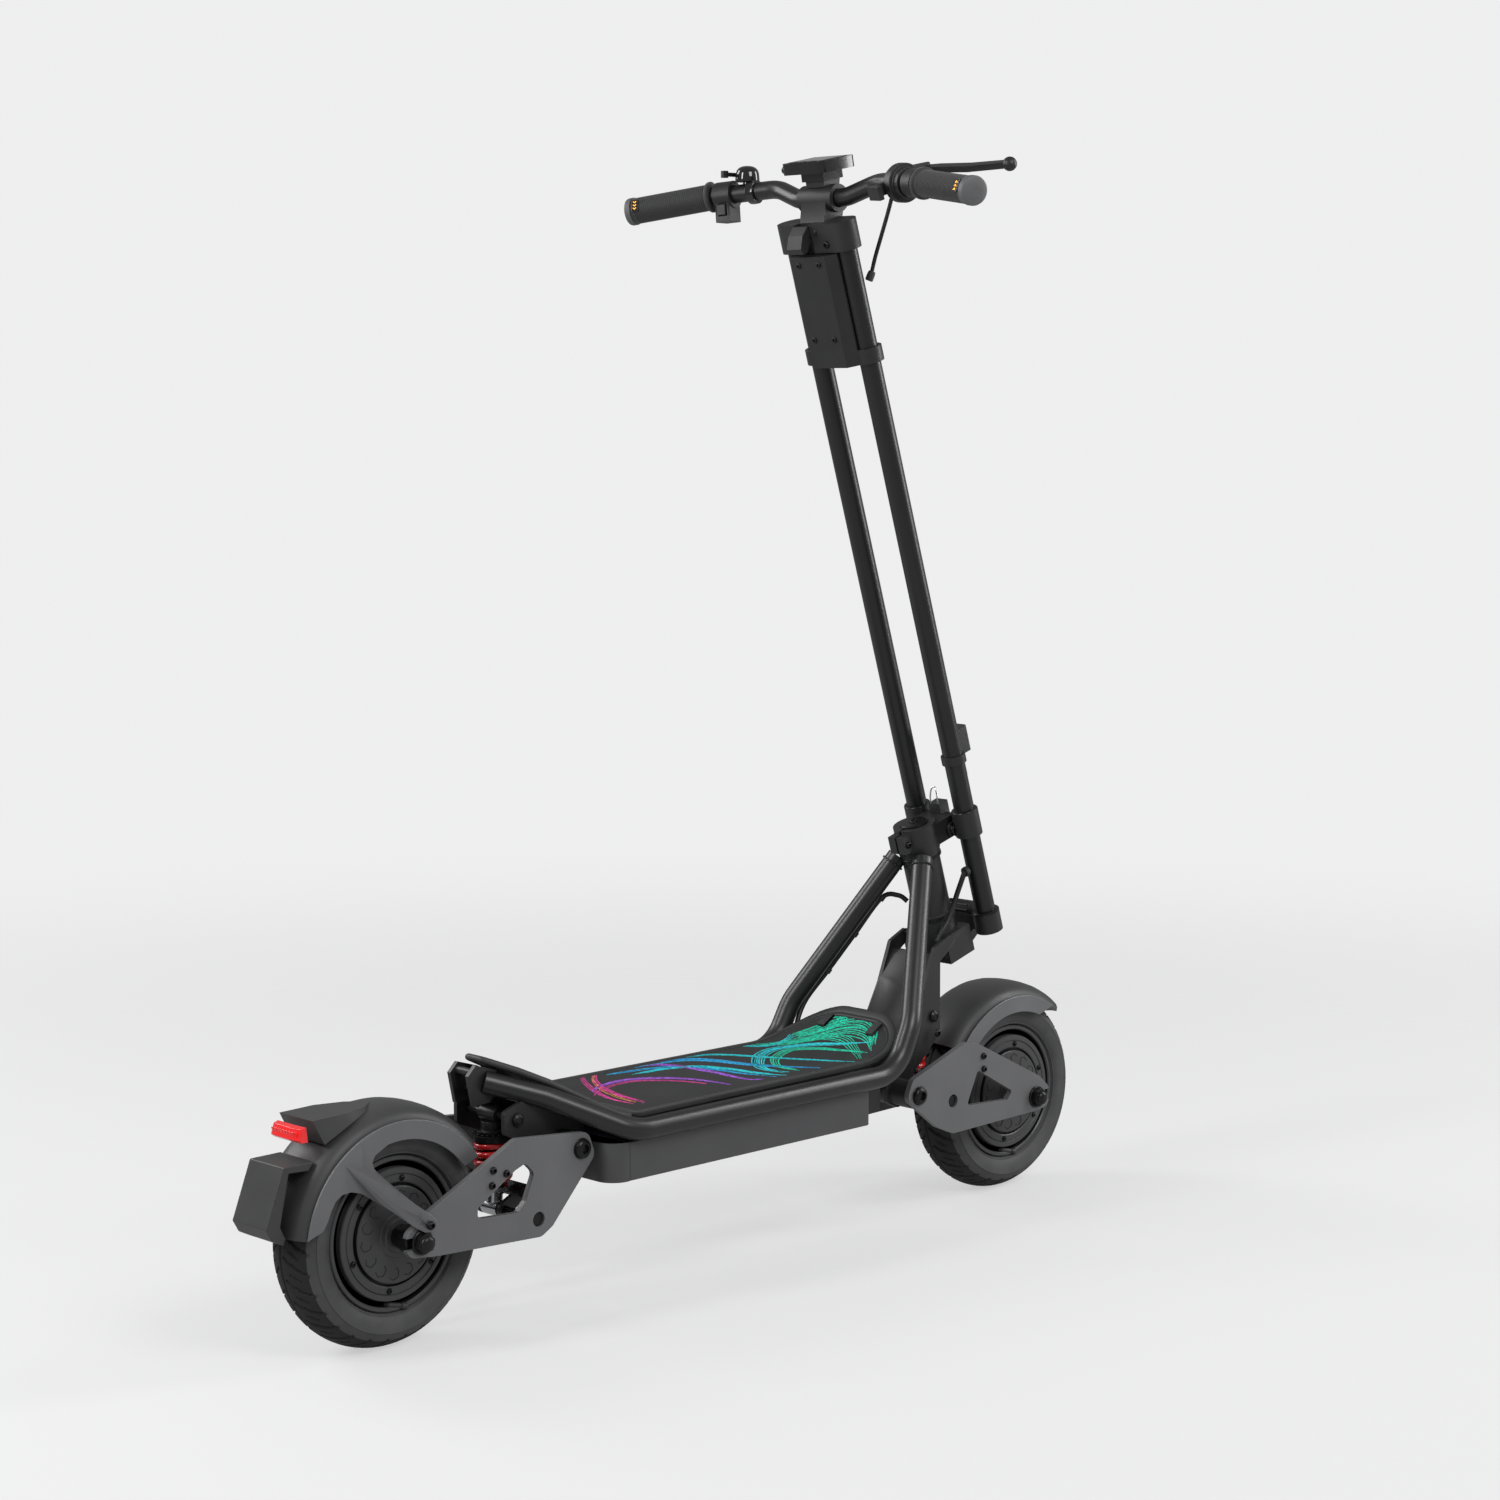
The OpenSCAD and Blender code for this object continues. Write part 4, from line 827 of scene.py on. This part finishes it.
# Nine prisms across the lens
for k in range(9):
    y = -22 + 5.5 * k
    b.block(at(-674.6, y, 277.4), (0.0008, 0.0036, 0.0075), x=(0.95, 0, 0.32), z=(-0.32, 0, 0.95))
lens = b.done("tail_lens", "rear_arm", "lens_red", bevel=0.8, angle=30)
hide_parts("tail_light")


# ---------------------- deck mat with its border and print

DECK_Z = 244.5
NOSE_RISE_X, NOSE_RISE_R = 170, 170              # where the mat begins to curve up, and its radius
TAIL_X, TAIL_Y, TAIL_R = -219, 96, 17            # centre and radius of the mat's rear corners
NOSE_X, NOSE_Y, NOSE_R = 208, 27, 79             # and of its front ones
TAPER = TAIL_Y + TAIL_R - NOSE_Y - NOSE_R        # how much each side draws in towards the nose


def deck_z(x):
    """Height of the mat's surface, which curves up at the nose."""
    if x <= NOSE_RISE_X:
        return DECK_Z
    return DECK_Z + NOSE_RISE_R - math.sqrt(NOSE_RISE_R ** 2 - (x - NOSE_RISE_X) ** 2)


def deck_edge(inset):
    """Outline of the mat, inset from the deck's own edge."""
    n = 14
    pts = []
    for k in range(n + 1):
        a = math.radians(180 - 90 * k / n)
        q = TAIL_R - inset
        pts.append((TAIL_X + q * math.cos(a), TAIL_Y + q * math.sin(a)))
    for k in range(1, 24):
        t = k / 24
        pts.append((TAIL_X + (NOSE_X - TAIL_X) * t, TAIL_Y + TAIL_R - inset - TAPER * t))
    for k in range(2 * n + 1):
        a = math.radians(90 - 90 * k / (2 * n))
        q = NOSE_R - inset
        pts.append((NOSE_X + q * math.cos(a), NOSE_Y + q * math.sin(a)))
    return pts + [(x, -y) for x, y in reversed(pts)]


def inside(x, y, inset):
    """Whether a point lies on the mat, at least inset from its edge."""
    side = TAIL_Y + TAIL_R - inset - (x - TAIL_X) * TAPER / (NOSE_X - TAIL_X)
    if x < TAIL_X - TAIL_R + inset or abs(y) > side:
        return False
    return x < NOSE_X or math.hypot(x - NOSE_X, max(0.0, abs(y) - NOSE_Y)) < NOSE_R - inset


def strip(b, pts, width, lift, depth, mat=0, closed=False):
    """A flat band laid along the mat: lift mm above its surface, depth mm into it."""
    section = [(-0.5, -depth), (-0.5, lift * 0.6), (-0.38, lift)]
    section += [(-k, h) for k, h in reversed(section)]
    pts = [Vector((p[0], p[1])) for p in pts]
    rows = []
    n = len(pts)
    for i, p in enumerate(pts):
        d = (pts[(i + 1) % n] - pts[i - 1]) if closed else (pts[min(i + 1, n - 1)] - pts[max(i - 1, 0)])
        d = d.normalized()
        side = Vector((-d.y, d.x)) * (width(i / max(1, n - 1)) if callable(width) else width)
        row = []
        for k, h in section:
            q = p + side * k
            row.append(at(q.x, q.y, deck_z(q.x) + h))
        rows.append(row)
    vs = b.grid(rows, closed_u=True, closed_v=closed, mat=mat)
    if not closed:
        b.cap(vs[0][::-1], mat)
        b.cap(vs[-1], mat)


bevelled("deck_mat", "mat", 0.6)
b = Build()
strip(b, deck_edge(8.5), 7.5, 1.1, 0.4, closed=True)
strip(b, deck_edge(15.5), 1.8, 0.7, 0.4, closed=True)
b.done("mat_border", "frame", "rubber_edge")
# Two tabs across the mat's raised nose
TAB_X, TAB_Z = (0.857, 0, 0.515), (-0.515, 0, 0.857)
b = Build()
for y in (-45, 45):
    b.block(at(257, y, 271.5), (0.024, 0.012, 0.005), x=TAB_X, z=TAB_Z)
    b.block(at(257, y, 274), (0.018, 0.006, 0.002), x=TAB_X, z=TAB_Z)
b.done("mat_tabs", "frame", "rubber_edge", bevel=0.8)

# The mat's print: bundles of brushed lines. Each has its ink, its count, its spread and its way
STROKES = [
    (0, 5, 9, [(-102, 108), (-138, 72), (-163, 28), (-176, -19), (-180, -79)]),
    (0, 3, 6, [(-127, 113), (-156, 70), (-183, 17), (-196, -28), (-194, -68)]),
    (1, 2, 4, [(-110, 104), (-146, 64), (-171, 18), (-185, -30), (-188, -76)]),
    (2, 5, 10, [(-166, 104), (-105, 106), (-51, 100), (-11, 75), (2, 6), (4, -59), (22, -77)]),
    (2, 4, 8, [(-194, 18), (-156, 40), (-110, 45), (-70, 21), (-44, -20), (-33, -76)]),
    (0, 2, 5, [(-200, 2), (-160, 26), (-112, 32), (-78, 8), (-56, -30), (-46, -80)]),
    (3, 7, 16, [(-60, 96), (0, 92), (34, 78), (53, 50), (66, 5), (89, -40), (118, -83)]),
    (4, 5, 12, [(-84, 60), (-30, 58), (10, 40), (30, 0), (40, -46), (58, -84)]),
    (3, 3, 8, [(-112, 84), (-50, 76), (-6, 54), (14, 14), (22, -30), (40, -84)]),
    (4, 4, 9, [(142, 96), (147, 88), (166, 70), (197, 66), (214, 70), (218, 78)]),
    (4, 6, 15, [(73, -76), (63, -35), (83, -1), (124, 34), (166, 47), (201, 26), (222, -21), (240, -66)]),
    (5, 4, 10, [(90, -78), (86, -40), (108, -6), (146, 20), (176, 26), (196, 2), (206, -40), (214, -76)]),
    (5, 9, 26, [(262, 42), (266, 18), (252, 33), (233, 56), (217, 72)]),
    (5, 8, 24, [(205, 63), (250, 29), (266, -9), (258, -40), (230, -66)]),
    (5, 6, 18, [(166, 70), (214, 39), (246, 2), (250, -30), (240, -55), (218, -78)]),
    (5, 5, 16, [(150, 92), (196, 62), (228, 24), (232, -14), (214, -50), (190, -84)]),
    (4, 3, 8, [(-20, 100), (30, 96), (76, 80), (104, 40), (128, -6), (160, -60), (176, -88)]),
]
PRINT_INSET = 18


def tapered(fat):
    """The width of a line that is thin at both ends."""
    return lambda u: fat * (0.35 + 0.65 * math.sin(math.pi * (0.08 + 0.84 * u)))


b = Build()
for ink, count, spread, pts in STROKES:
    line = smooth_path([(x, y, 0) for x, y in pts], 14)
    for k in range(count):
        off = (k / max(1, count - 1) - 0.5) * spread
        wob = rng.uniform(0, 6.28)
        run = []
        a0, a1 = rng.uniform(0, 0.12), rng.uniform(0.86, 1.0)
        for i, p in enumerate(line):
            t = i / (len(line) - 1)
            d = (line[min(i + 1, len(line) - 1)] - line[max(i - 1, 0)]).normalized()
            fan = 0.35 + 0.65 * math.sin(math.pi * min(1, t * 1.1)) + 0.18 * math.sin(5 * t + wob)
            q = Vector((p.x, p.y)) + Vector((-d.y, d.x)) * off * fan
            ok = a0 < t < a1 and inside(q.x, q.y, PRINT_INSET)
            if ok:
                run.append(q)
            if (not ok or i == len(line) - 1) and len(run) > 3:
                strip(b, run, tapered(rng.uniform(0.9, 2.1)), 0.35, 0.3, mat=ink)
            if not ok:
                run = []
b.done("mat_print", "frame", list(INKS), slot="mat")


# ---------------------- grips, lights and fittings on the bar

GRIP_IN, GRIP_OUT = BAR[3], BAR[4]
b = Build()
caps = Build()
glow = Build()
windows = Build()
for s in (-1, 1):
    p0 = at(GRIP_IN[0], s * GRIP_IN[1], GRIP_IN[2])
    p1 = at(GRIP_OUT[0], s * GRIP_OUT[1], GRIP_OUT[2])
    d = (p1 - p0).normalized()
    length = (p1 - p0).length
    prof = [(0.0124, 0), (0.0195, 0.0002), (0.0205, 0.001), (0.0205, 0.0036), (0.0196, 0.0052),
            (0.0176, 0.0062)]
    h = 0.0075
    while h < length - 0.012:
        prof += [(0.0168, h), (0.0168, h + 0.0007), (0.0175, h + 0.0011), (0.0175, h + 0.0025),
                 (0.0168, h + 0.0029)]
        h += 0.0031
    prof += [(0.0174, h + 0.001), (0.0176, length - 0.0045), (0.017, length - 0.0041),
             (0.0124, length - 0.004)]
    b.lathe(p0, d, prof, 48)
    caps.lathe(p0 + d * (length - 0.0038), d, [(0.0125, 0), (0.0185, 0.0002), (0.0185, 0.0062),
                                              (0.0178, 0.0084), (0.015, 0.0096), (0.006, 0.0098)], 48)
    for back in (-1, 1):
        out = Vector((back, 0, 0.25))
        q = (out - d * d.dot(out)).normalized()
        o = p0 + d * (length - 0.0122) + q * 0.0176
        side = q.cross(d)
        windows.block(o, (0.0105, 0.017, 0.0014), x=d, z=q)
        for k in (-1, 0, 1):
            c = o + side * (k * 0.0045) + q * 0.0008
            glow.tube([c - d * 0.0022 - side * 0.0014, c + side * 0.0006, c + d * 0.0022 - side * 0.0014],
                      0.0006, 8)
ob = b.done("grip_sleeves", "stem", "grip_rubber", angle=24)
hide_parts("grips")
caps.done("grip_end_caps", "stem", "cap_grey", angle=24)
glow.done("grip_indicators", "stem", "amber")
windows.done("grip_windows", "stem", "screen", bevel=0.6)

# Display: its case, a pane of glass and three rubber keys
c, sn = math.cos(math.radians(11)), math.sin(math.radians(11))
DX, DZ = Vector((c, 0, sn)), Vector((-sn, 0, c))
o = at(198, 0, 1402)
bevelled("display", "plastic_gloss", 1.6, segs=3)
b = Build()
b.block(o + DZ * 0.0151, (0.050, 0.060, 0.0012), x=DX, z=DZ)
b.done("display_glass", "stem", "screen", bevel=0.4)
b = Build()
for k in range(3):
    b.block(o + DZ * 0.0156 + DX * (-0.0285) + Vector((0, (k - 1) * 0.016, 0)), (0.006, 0.011, 0.0014),
            x=DX, z=DZ)
b.done("display_keys", "stem", "rubber_edge", bevel=0.5)

# Saddle that carries the display's foot on the handlebar clamp
SADDLE = [(191, 1380.2), (198, 1383.4), (205, 1384.9), (212, 1383.4), (219, 1380.2), (220, 1393.8),
          (189, 1387.8)]
b = Build()
b.plate([(x * MM, z * MM) for x, z in SADDLE], at(0, 16, 0), (1, 0, 0), (0, 0, 1), 0.032)
b.done("display_saddle", "stem", "plastic_black", bevel=0.4)

# Stem: screws of the box, the yoke and the hook, and the lips of its collars
b = Build()
for y in (-21, 21):
    for z in (722, 822):
        b.screw(stem(-30.4, y * 0.86, z), -AHEAD, 4.0, 1.4)
for s in (-1, 1):
    b.screw(stem(0, s * 58.5, 694), (0, s, 0), 3.0, 2.2)
for s in (-1, 1):
    b.screw(stem(-20.4, s * 30, 846), -AHEAD, 4.8, 2.8)
    b.screw(stem(-16, s * 13.4, 862), (0, s, 0), 6.4, 3.4)
    b.lathe(stem(0, s * STEM_Y, 46), UP,
            [(0.0180, 0), (0.0184, 0.0006), (0.0184, 0.0026), (0.0178, 0.0034), (0.0142, 0.0036)], 40)
    b.lathe(stem(0, s * STEM_Y, -104), UP,
            [(0.0192, 0), (0.0192, 0.0018), (0.0178, 0.003), (0.0142, 0.0032)], 40)
b.done("stem_screws", "stem", "steel_dark", bevel=0.2)

# Crown: top cap with its screw, clamp screws and bearing rings
b = Build()
b.lathe(head(0, 0, 46.6), UP,
        [(0.0195, 0), (0.0195, 0.0022), (0.0182, 0.0032), (0.006, 0.0034), (0.0052, 0.0008)], 40)
b.screw(head(0, 0, 49.6), UP, 5.2, 2.6)
for s in (-1, 1):
    b.screw(head(-32, s * 14.2, 30), (0, s, 0), 4.6, 3.2)
b.lathe(head(0, 0, -2), UP, [(0.0284, 0), (0.0288, 0.0006), (0.0288, 0.004), (0.0276, 0.0048)], 48)
b.lathe(head(0, 0, -90), UP, [(0.0282, 0), (0.0286, 0.0006), (0.0286, 0.005), (0.0276, 0.0058)], 48)
b.done("crown_fittings", "fork", "steel_dark", bevel=0.2)

# Hinge lugs beside the crown, each with its bolt
LUG = [(-0.024, -0.0095), (0.006, -0.011), (0.006, 0.011), (-0.024, 0.0095)]
LUG_Z, LUG_THICK = 24, 4
b = Build()
for s in (-1, 1):
    b.plate(soft_outline(LUG, [0.009, 0.002, 0.002, 0.009]),
            stem(0, s * 25.7 + (0 if s < 0 else LUG_THICK), LUG_Z), AHEAD, UP, LUG_THICK * MM)
b.done("hinge_lugs", "stem", "cast_black", bevel=0.6)
b = Build()
for s in (-1, 1):
    b.lathe(stem(-15.2, s * 29.6, LUG_Z), (0, s, 0),
            [(0.0074, 0), (0.0074, 0.0008), (0.007, 0.0012), (0.0056, 0.0012)], 32)
    b.screw(stem(-15.2, s * 30.6, LUG_Z), (0, s, 0), 6.4, 4.2)
b.done("hinge_bolts", "stem", "steel_dark")

# Wire bail of the crown's safety catch
b = Build()
pts = smooth_path([head(47, -6, 56), head(48, -6.5, 66), head(51, -4, 77), head(53, 0, 80), head(51, 4, 77),
                   head(48, 6.5, 66), head(47, 6, 56)])
b.tube(pts, 0.0011, 10)
b.done("catch_bail", "fork", "steel")

# Fork: side screws, and spacers at the swingarm's pivot
b = Build()
for s in (-1, 1):
    b.screw(at(374, s * (-52.5), 250), (0, -s, 0), 5.4, 3.6)
    b.lathe(at(FRONT_PIVOT[0], s * 58.6, FRONT_PIVOT[1]), (0, s, 0),
            [(0.012, 0), (0.0125, 0.0008), (0.0125, 0.003)], 32)
b.done("fork_screws", "fork", "steel_dark")

# Grommets where the loom leaves the right tube, and where the brake hose ends
b = Build()
b.lathe(at(441, -41.5, 463), Vector((1, -0.1, 0.35)),
        [(0.0068, -0.001), (0.0072, 0.003), (0.006, 0.006), (0.004, 0.0064)], 24)
b.lathe(at(*BRAKE_HOSE[-1]) + Vector((0, 0, 0.001)), Vector((-0.25, 0.3, -1)),
        [(0.0044, -0.004), (0.0052, 0), (0.0052, 0.008), (0.004, 0.009)], 20)
b.done("cable_grommets", "stem", "rubber_edge")

# Clips that hold the cables to the left down tube
b = Build()
for p in FRAME_CABLE[2:5]:
    b.lathe(at(*p), Vector((-0.477, 0.36, -0.8)),
            [(0.0034, -0.004), (0.0048, -0.0036), (0.0048, 0.0036), (0.0034, 0.004)], 20)
b.done("loom_clips", "frame", "plastic_black")


# ---------------------- bell and tail edge

lo_b, hi_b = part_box("bell")
bx, by, bz = (lo_b[0] + hi_b[0]) / 2, (lo_b[1] + hi_b[1]) / 2, hi_b[2]
bar_dir = (Vector(BAR[2]) - Vector(BAR[3])).normalized()
BELL_ALONG = 64      # mm in from the grip's inner end
b = Build()
b.lathe((bx, by, bz - 0.0215), UP_Z,
        [(0.0120, 0), (0.0158, 0.0006), (0.0162, 0.0016), (0.0160, 0.0070), (0.0154, 0.0120),
         (0.0140, 0.0160), (0.0112, 0.0190), (0.0074, 0.0208), (0.0030, 0.0215)], 48)
b.lathe((bx, by, bz - 0.027), UP_Z, [(0.006, 0), (0.006, 0.006)], 20)
b.lathe(at(*(Vector(BAR[3]) + bar_dir * BELL_ALONG)), bar_dir,
        [(0.0122, -0.006), (0.0158, -0.0054), (0.0162, 0), (0.0158, 0.0054), (0.0122, 0.006)], 36)
b.block((bx, by, bz - 0.0285), (0.013, 0.010, 0.007), x=bar_dir.cross(UP_Z))
ob = b.done("bell_dome", "stem", "plastic_gloss", bevel=0.5, angle=30)
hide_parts("bell")


TAIL_LINE = [(-394, 324.5), (-388, 322), (-355, 308), (-321, 291), (-276, 264), (-250, 249),
             (-236, DECK_Z), (-200, DECK_Z)]


def tail_z(x):
    """Height of the deck plate's top where it rises to the tail."""
    for (x0, z0), (x1, z1) in zip(TAIL_LINE, TAIL_LINE[1:]):
        if x0 <= x <= x1:
            return z0 + (z1 - z0) * (x - x0) / (x1 - x0)
    return DECK_Z


# A rubber bead round the raised tail
EDGE_HALF = [(-236, 105), (-262, 86), (-384, 20), (-393, 13)]
EDGE = soft_outline([(x, -y) for x, y in EDGE_HALF] + EDGE_HALF[::-1], [0, 14, 8, 6, 6, 8, 14, 0], n=6)
run = []
for (x0, y0), (x1, y1) in zip(EDGE, EDGE[1:]):
    n = max(1, int(math.hypot(x1 - x0, y1 - y0) / 6))
    run += [(x0 + (x1 - x0) * k / n, y0 + (y1 - y0) * k / n) for k in range(n)]
run.append(EDGE[-1])
b = Build()
b.tube([at(x, y, tail_z(x) - 2.2) for x, y in run], 0.0042, 14)
b.done("tail_edge_bead", "frame", "rubber_edge")


# ---------------------- camera, light, floor

def area(name, loc, target, size, power):
    """A soft box of size metres that looks at target."""
    light = bpy.data.lights.new(name, "AREA")
    light.energy = power
    light.shape = "RECTANGLE"
    light.size, light.size_y = size
    o = bpy.data.objects.new(name, light)
    o.location = loc
    o.rotation_mode = "QUATERNION"
    o.rotation_quaternion = (Vector(target) - Vector(loc)).to_track_quat("-Z", "Y")
    scene.collection.objects.link(o)


# The world lights the part softly, and shows the camera a pale grey
scene = bpy.context.scene
world = bpy.data.worlds.new("studio")
scene.world = world
world.use_nodes = True
wt = world.node_tree
bg = wt.nodes["Background"]
bg.inputs["Color"].default_value = (0.86, 0.86, 0.862, 1)
lp = wt.nodes.new("ShaderNodeLightPath")
ws = wt.nodes.new("ShaderNodeMapRange")
ws.inputs["To Min"].default_value = 0.32
ws.inputs["To Max"].default_value = 1.0
wt.links.new(lp.outputs["Is Camera Ray"], ws.inputs["Value"])
wt.links.new(ws.outputs["Result"], bg.inputs["Strength"])
scene.view_settings.view_transform = "Standard"
scene.view_settings.look = "None"

# A plain floor that fades into the world away from the part
FLOOR = 9.0
me = bpy.data.meshes.new("floor")
me.from_pydata([(-FLOOR, -FLOOR, 0), (FLOOR, -FLOOR, 0), (FLOOR, FLOOR, 0), (-FLOOR, FLOOR, 0)], [],
               [(0, 1, 2, 3)])
floor = bpy.data.objects.new("floor", me)
scene.collection.objects.link(floor)
fm = bpy.data.materials.new("floor_paper")
fm.use_nodes = True
nt = fm.node_tree
pb = nt.nodes["Principled BSDF"]
pb.inputs["Roughness"].default_value = 0.9
pb.inputs["Specular IOR Level"].default_value = 0.1
pb.inputs["Base Color"].default_value = (0.8, 0.8, 0.802, 1)
tc = nt.nodes.new("ShaderNodeTexCoord")
ln = nt.nodes.new("ShaderNodeVectorMath")
ln.operation = "LENGTH"
nt.links.new(tc.outputs["Object"], ln.inputs[0])
mr = nt.nodes.new("ShaderNodeMapRange")
mr.inputs["From Min"].default_value = 1.0
mr.inputs["From Max"].default_value = 4.0
mr.inputs["To Min"].default_value = 0.62
mr.interpolation_type = "SMOOTHERSTEP"
nt.links.new(ln.outputs["Value"], mr.inputs["Value"])
tr = nt.nodes.new("ShaderNodeBsdfTransparent")
mx = nt.nodes.new("ShaderNodeMixShader")
nt.links.new(mr.outputs["Result"], mx.inputs["Fac"])
nt.links.new(pb.outputs["BSDF"], mx.inputs[1])
nt.links.new(tr.outputs["BSDF"], mx.inputs[2])
nt.links.new(mx.outputs["Shader"], nt.nodes["Material Output"].inputs["Surface"])
me.materials.append(fm)

area("key", (-0.5, -3.2, 3.0), (0, 0, 0.5), (1.6, 1.6), 60)
area("streak", (-2.4, 0.4, 1.9), (0, 0, 0.6), (0.5, 1.6), 34)
area("rim", (2.6, -1.6, 1.8), (0, 0, 0.6), (0.7, 2.4), 45)
area("back", (-1.2, 3.0, 2.4), (0, 0, 0.6), (1.2, 2.0), 50)

# The camera stands behind the scooter on its right, a little above the bar, as in the photograph
cam = bpy.data.cameras.new("camera")
cam_ob = bpy.data.objects.new("camera", cam)
scene.collection.objects.link(cam_ob)
cam.lens = 76.33
cam.sensor_width = 36.0
cam.clip_start, cam.clip_end = 0.05, 60
yaw, pitch, roll = math.radians(45.751), math.radians(-6.422), math.radians(-0.136)
view_dir = Vector((math.cos(pitch) * math.cos(yaw), math.cos(pitch) * math.sin(yaw), math.sin(pitch)))
cam_ob.location = (-2.75858, -2.92681, 1.11784)
cam_ob.rotation_mode = "QUATERNION"
cam_ob.rotation_quaternion = view_dir.to_track_quat("-Z", "Y") @ Matrix.Rotation(roll, 3, "Z").to_quaternion()
scene.camera = cam_ob
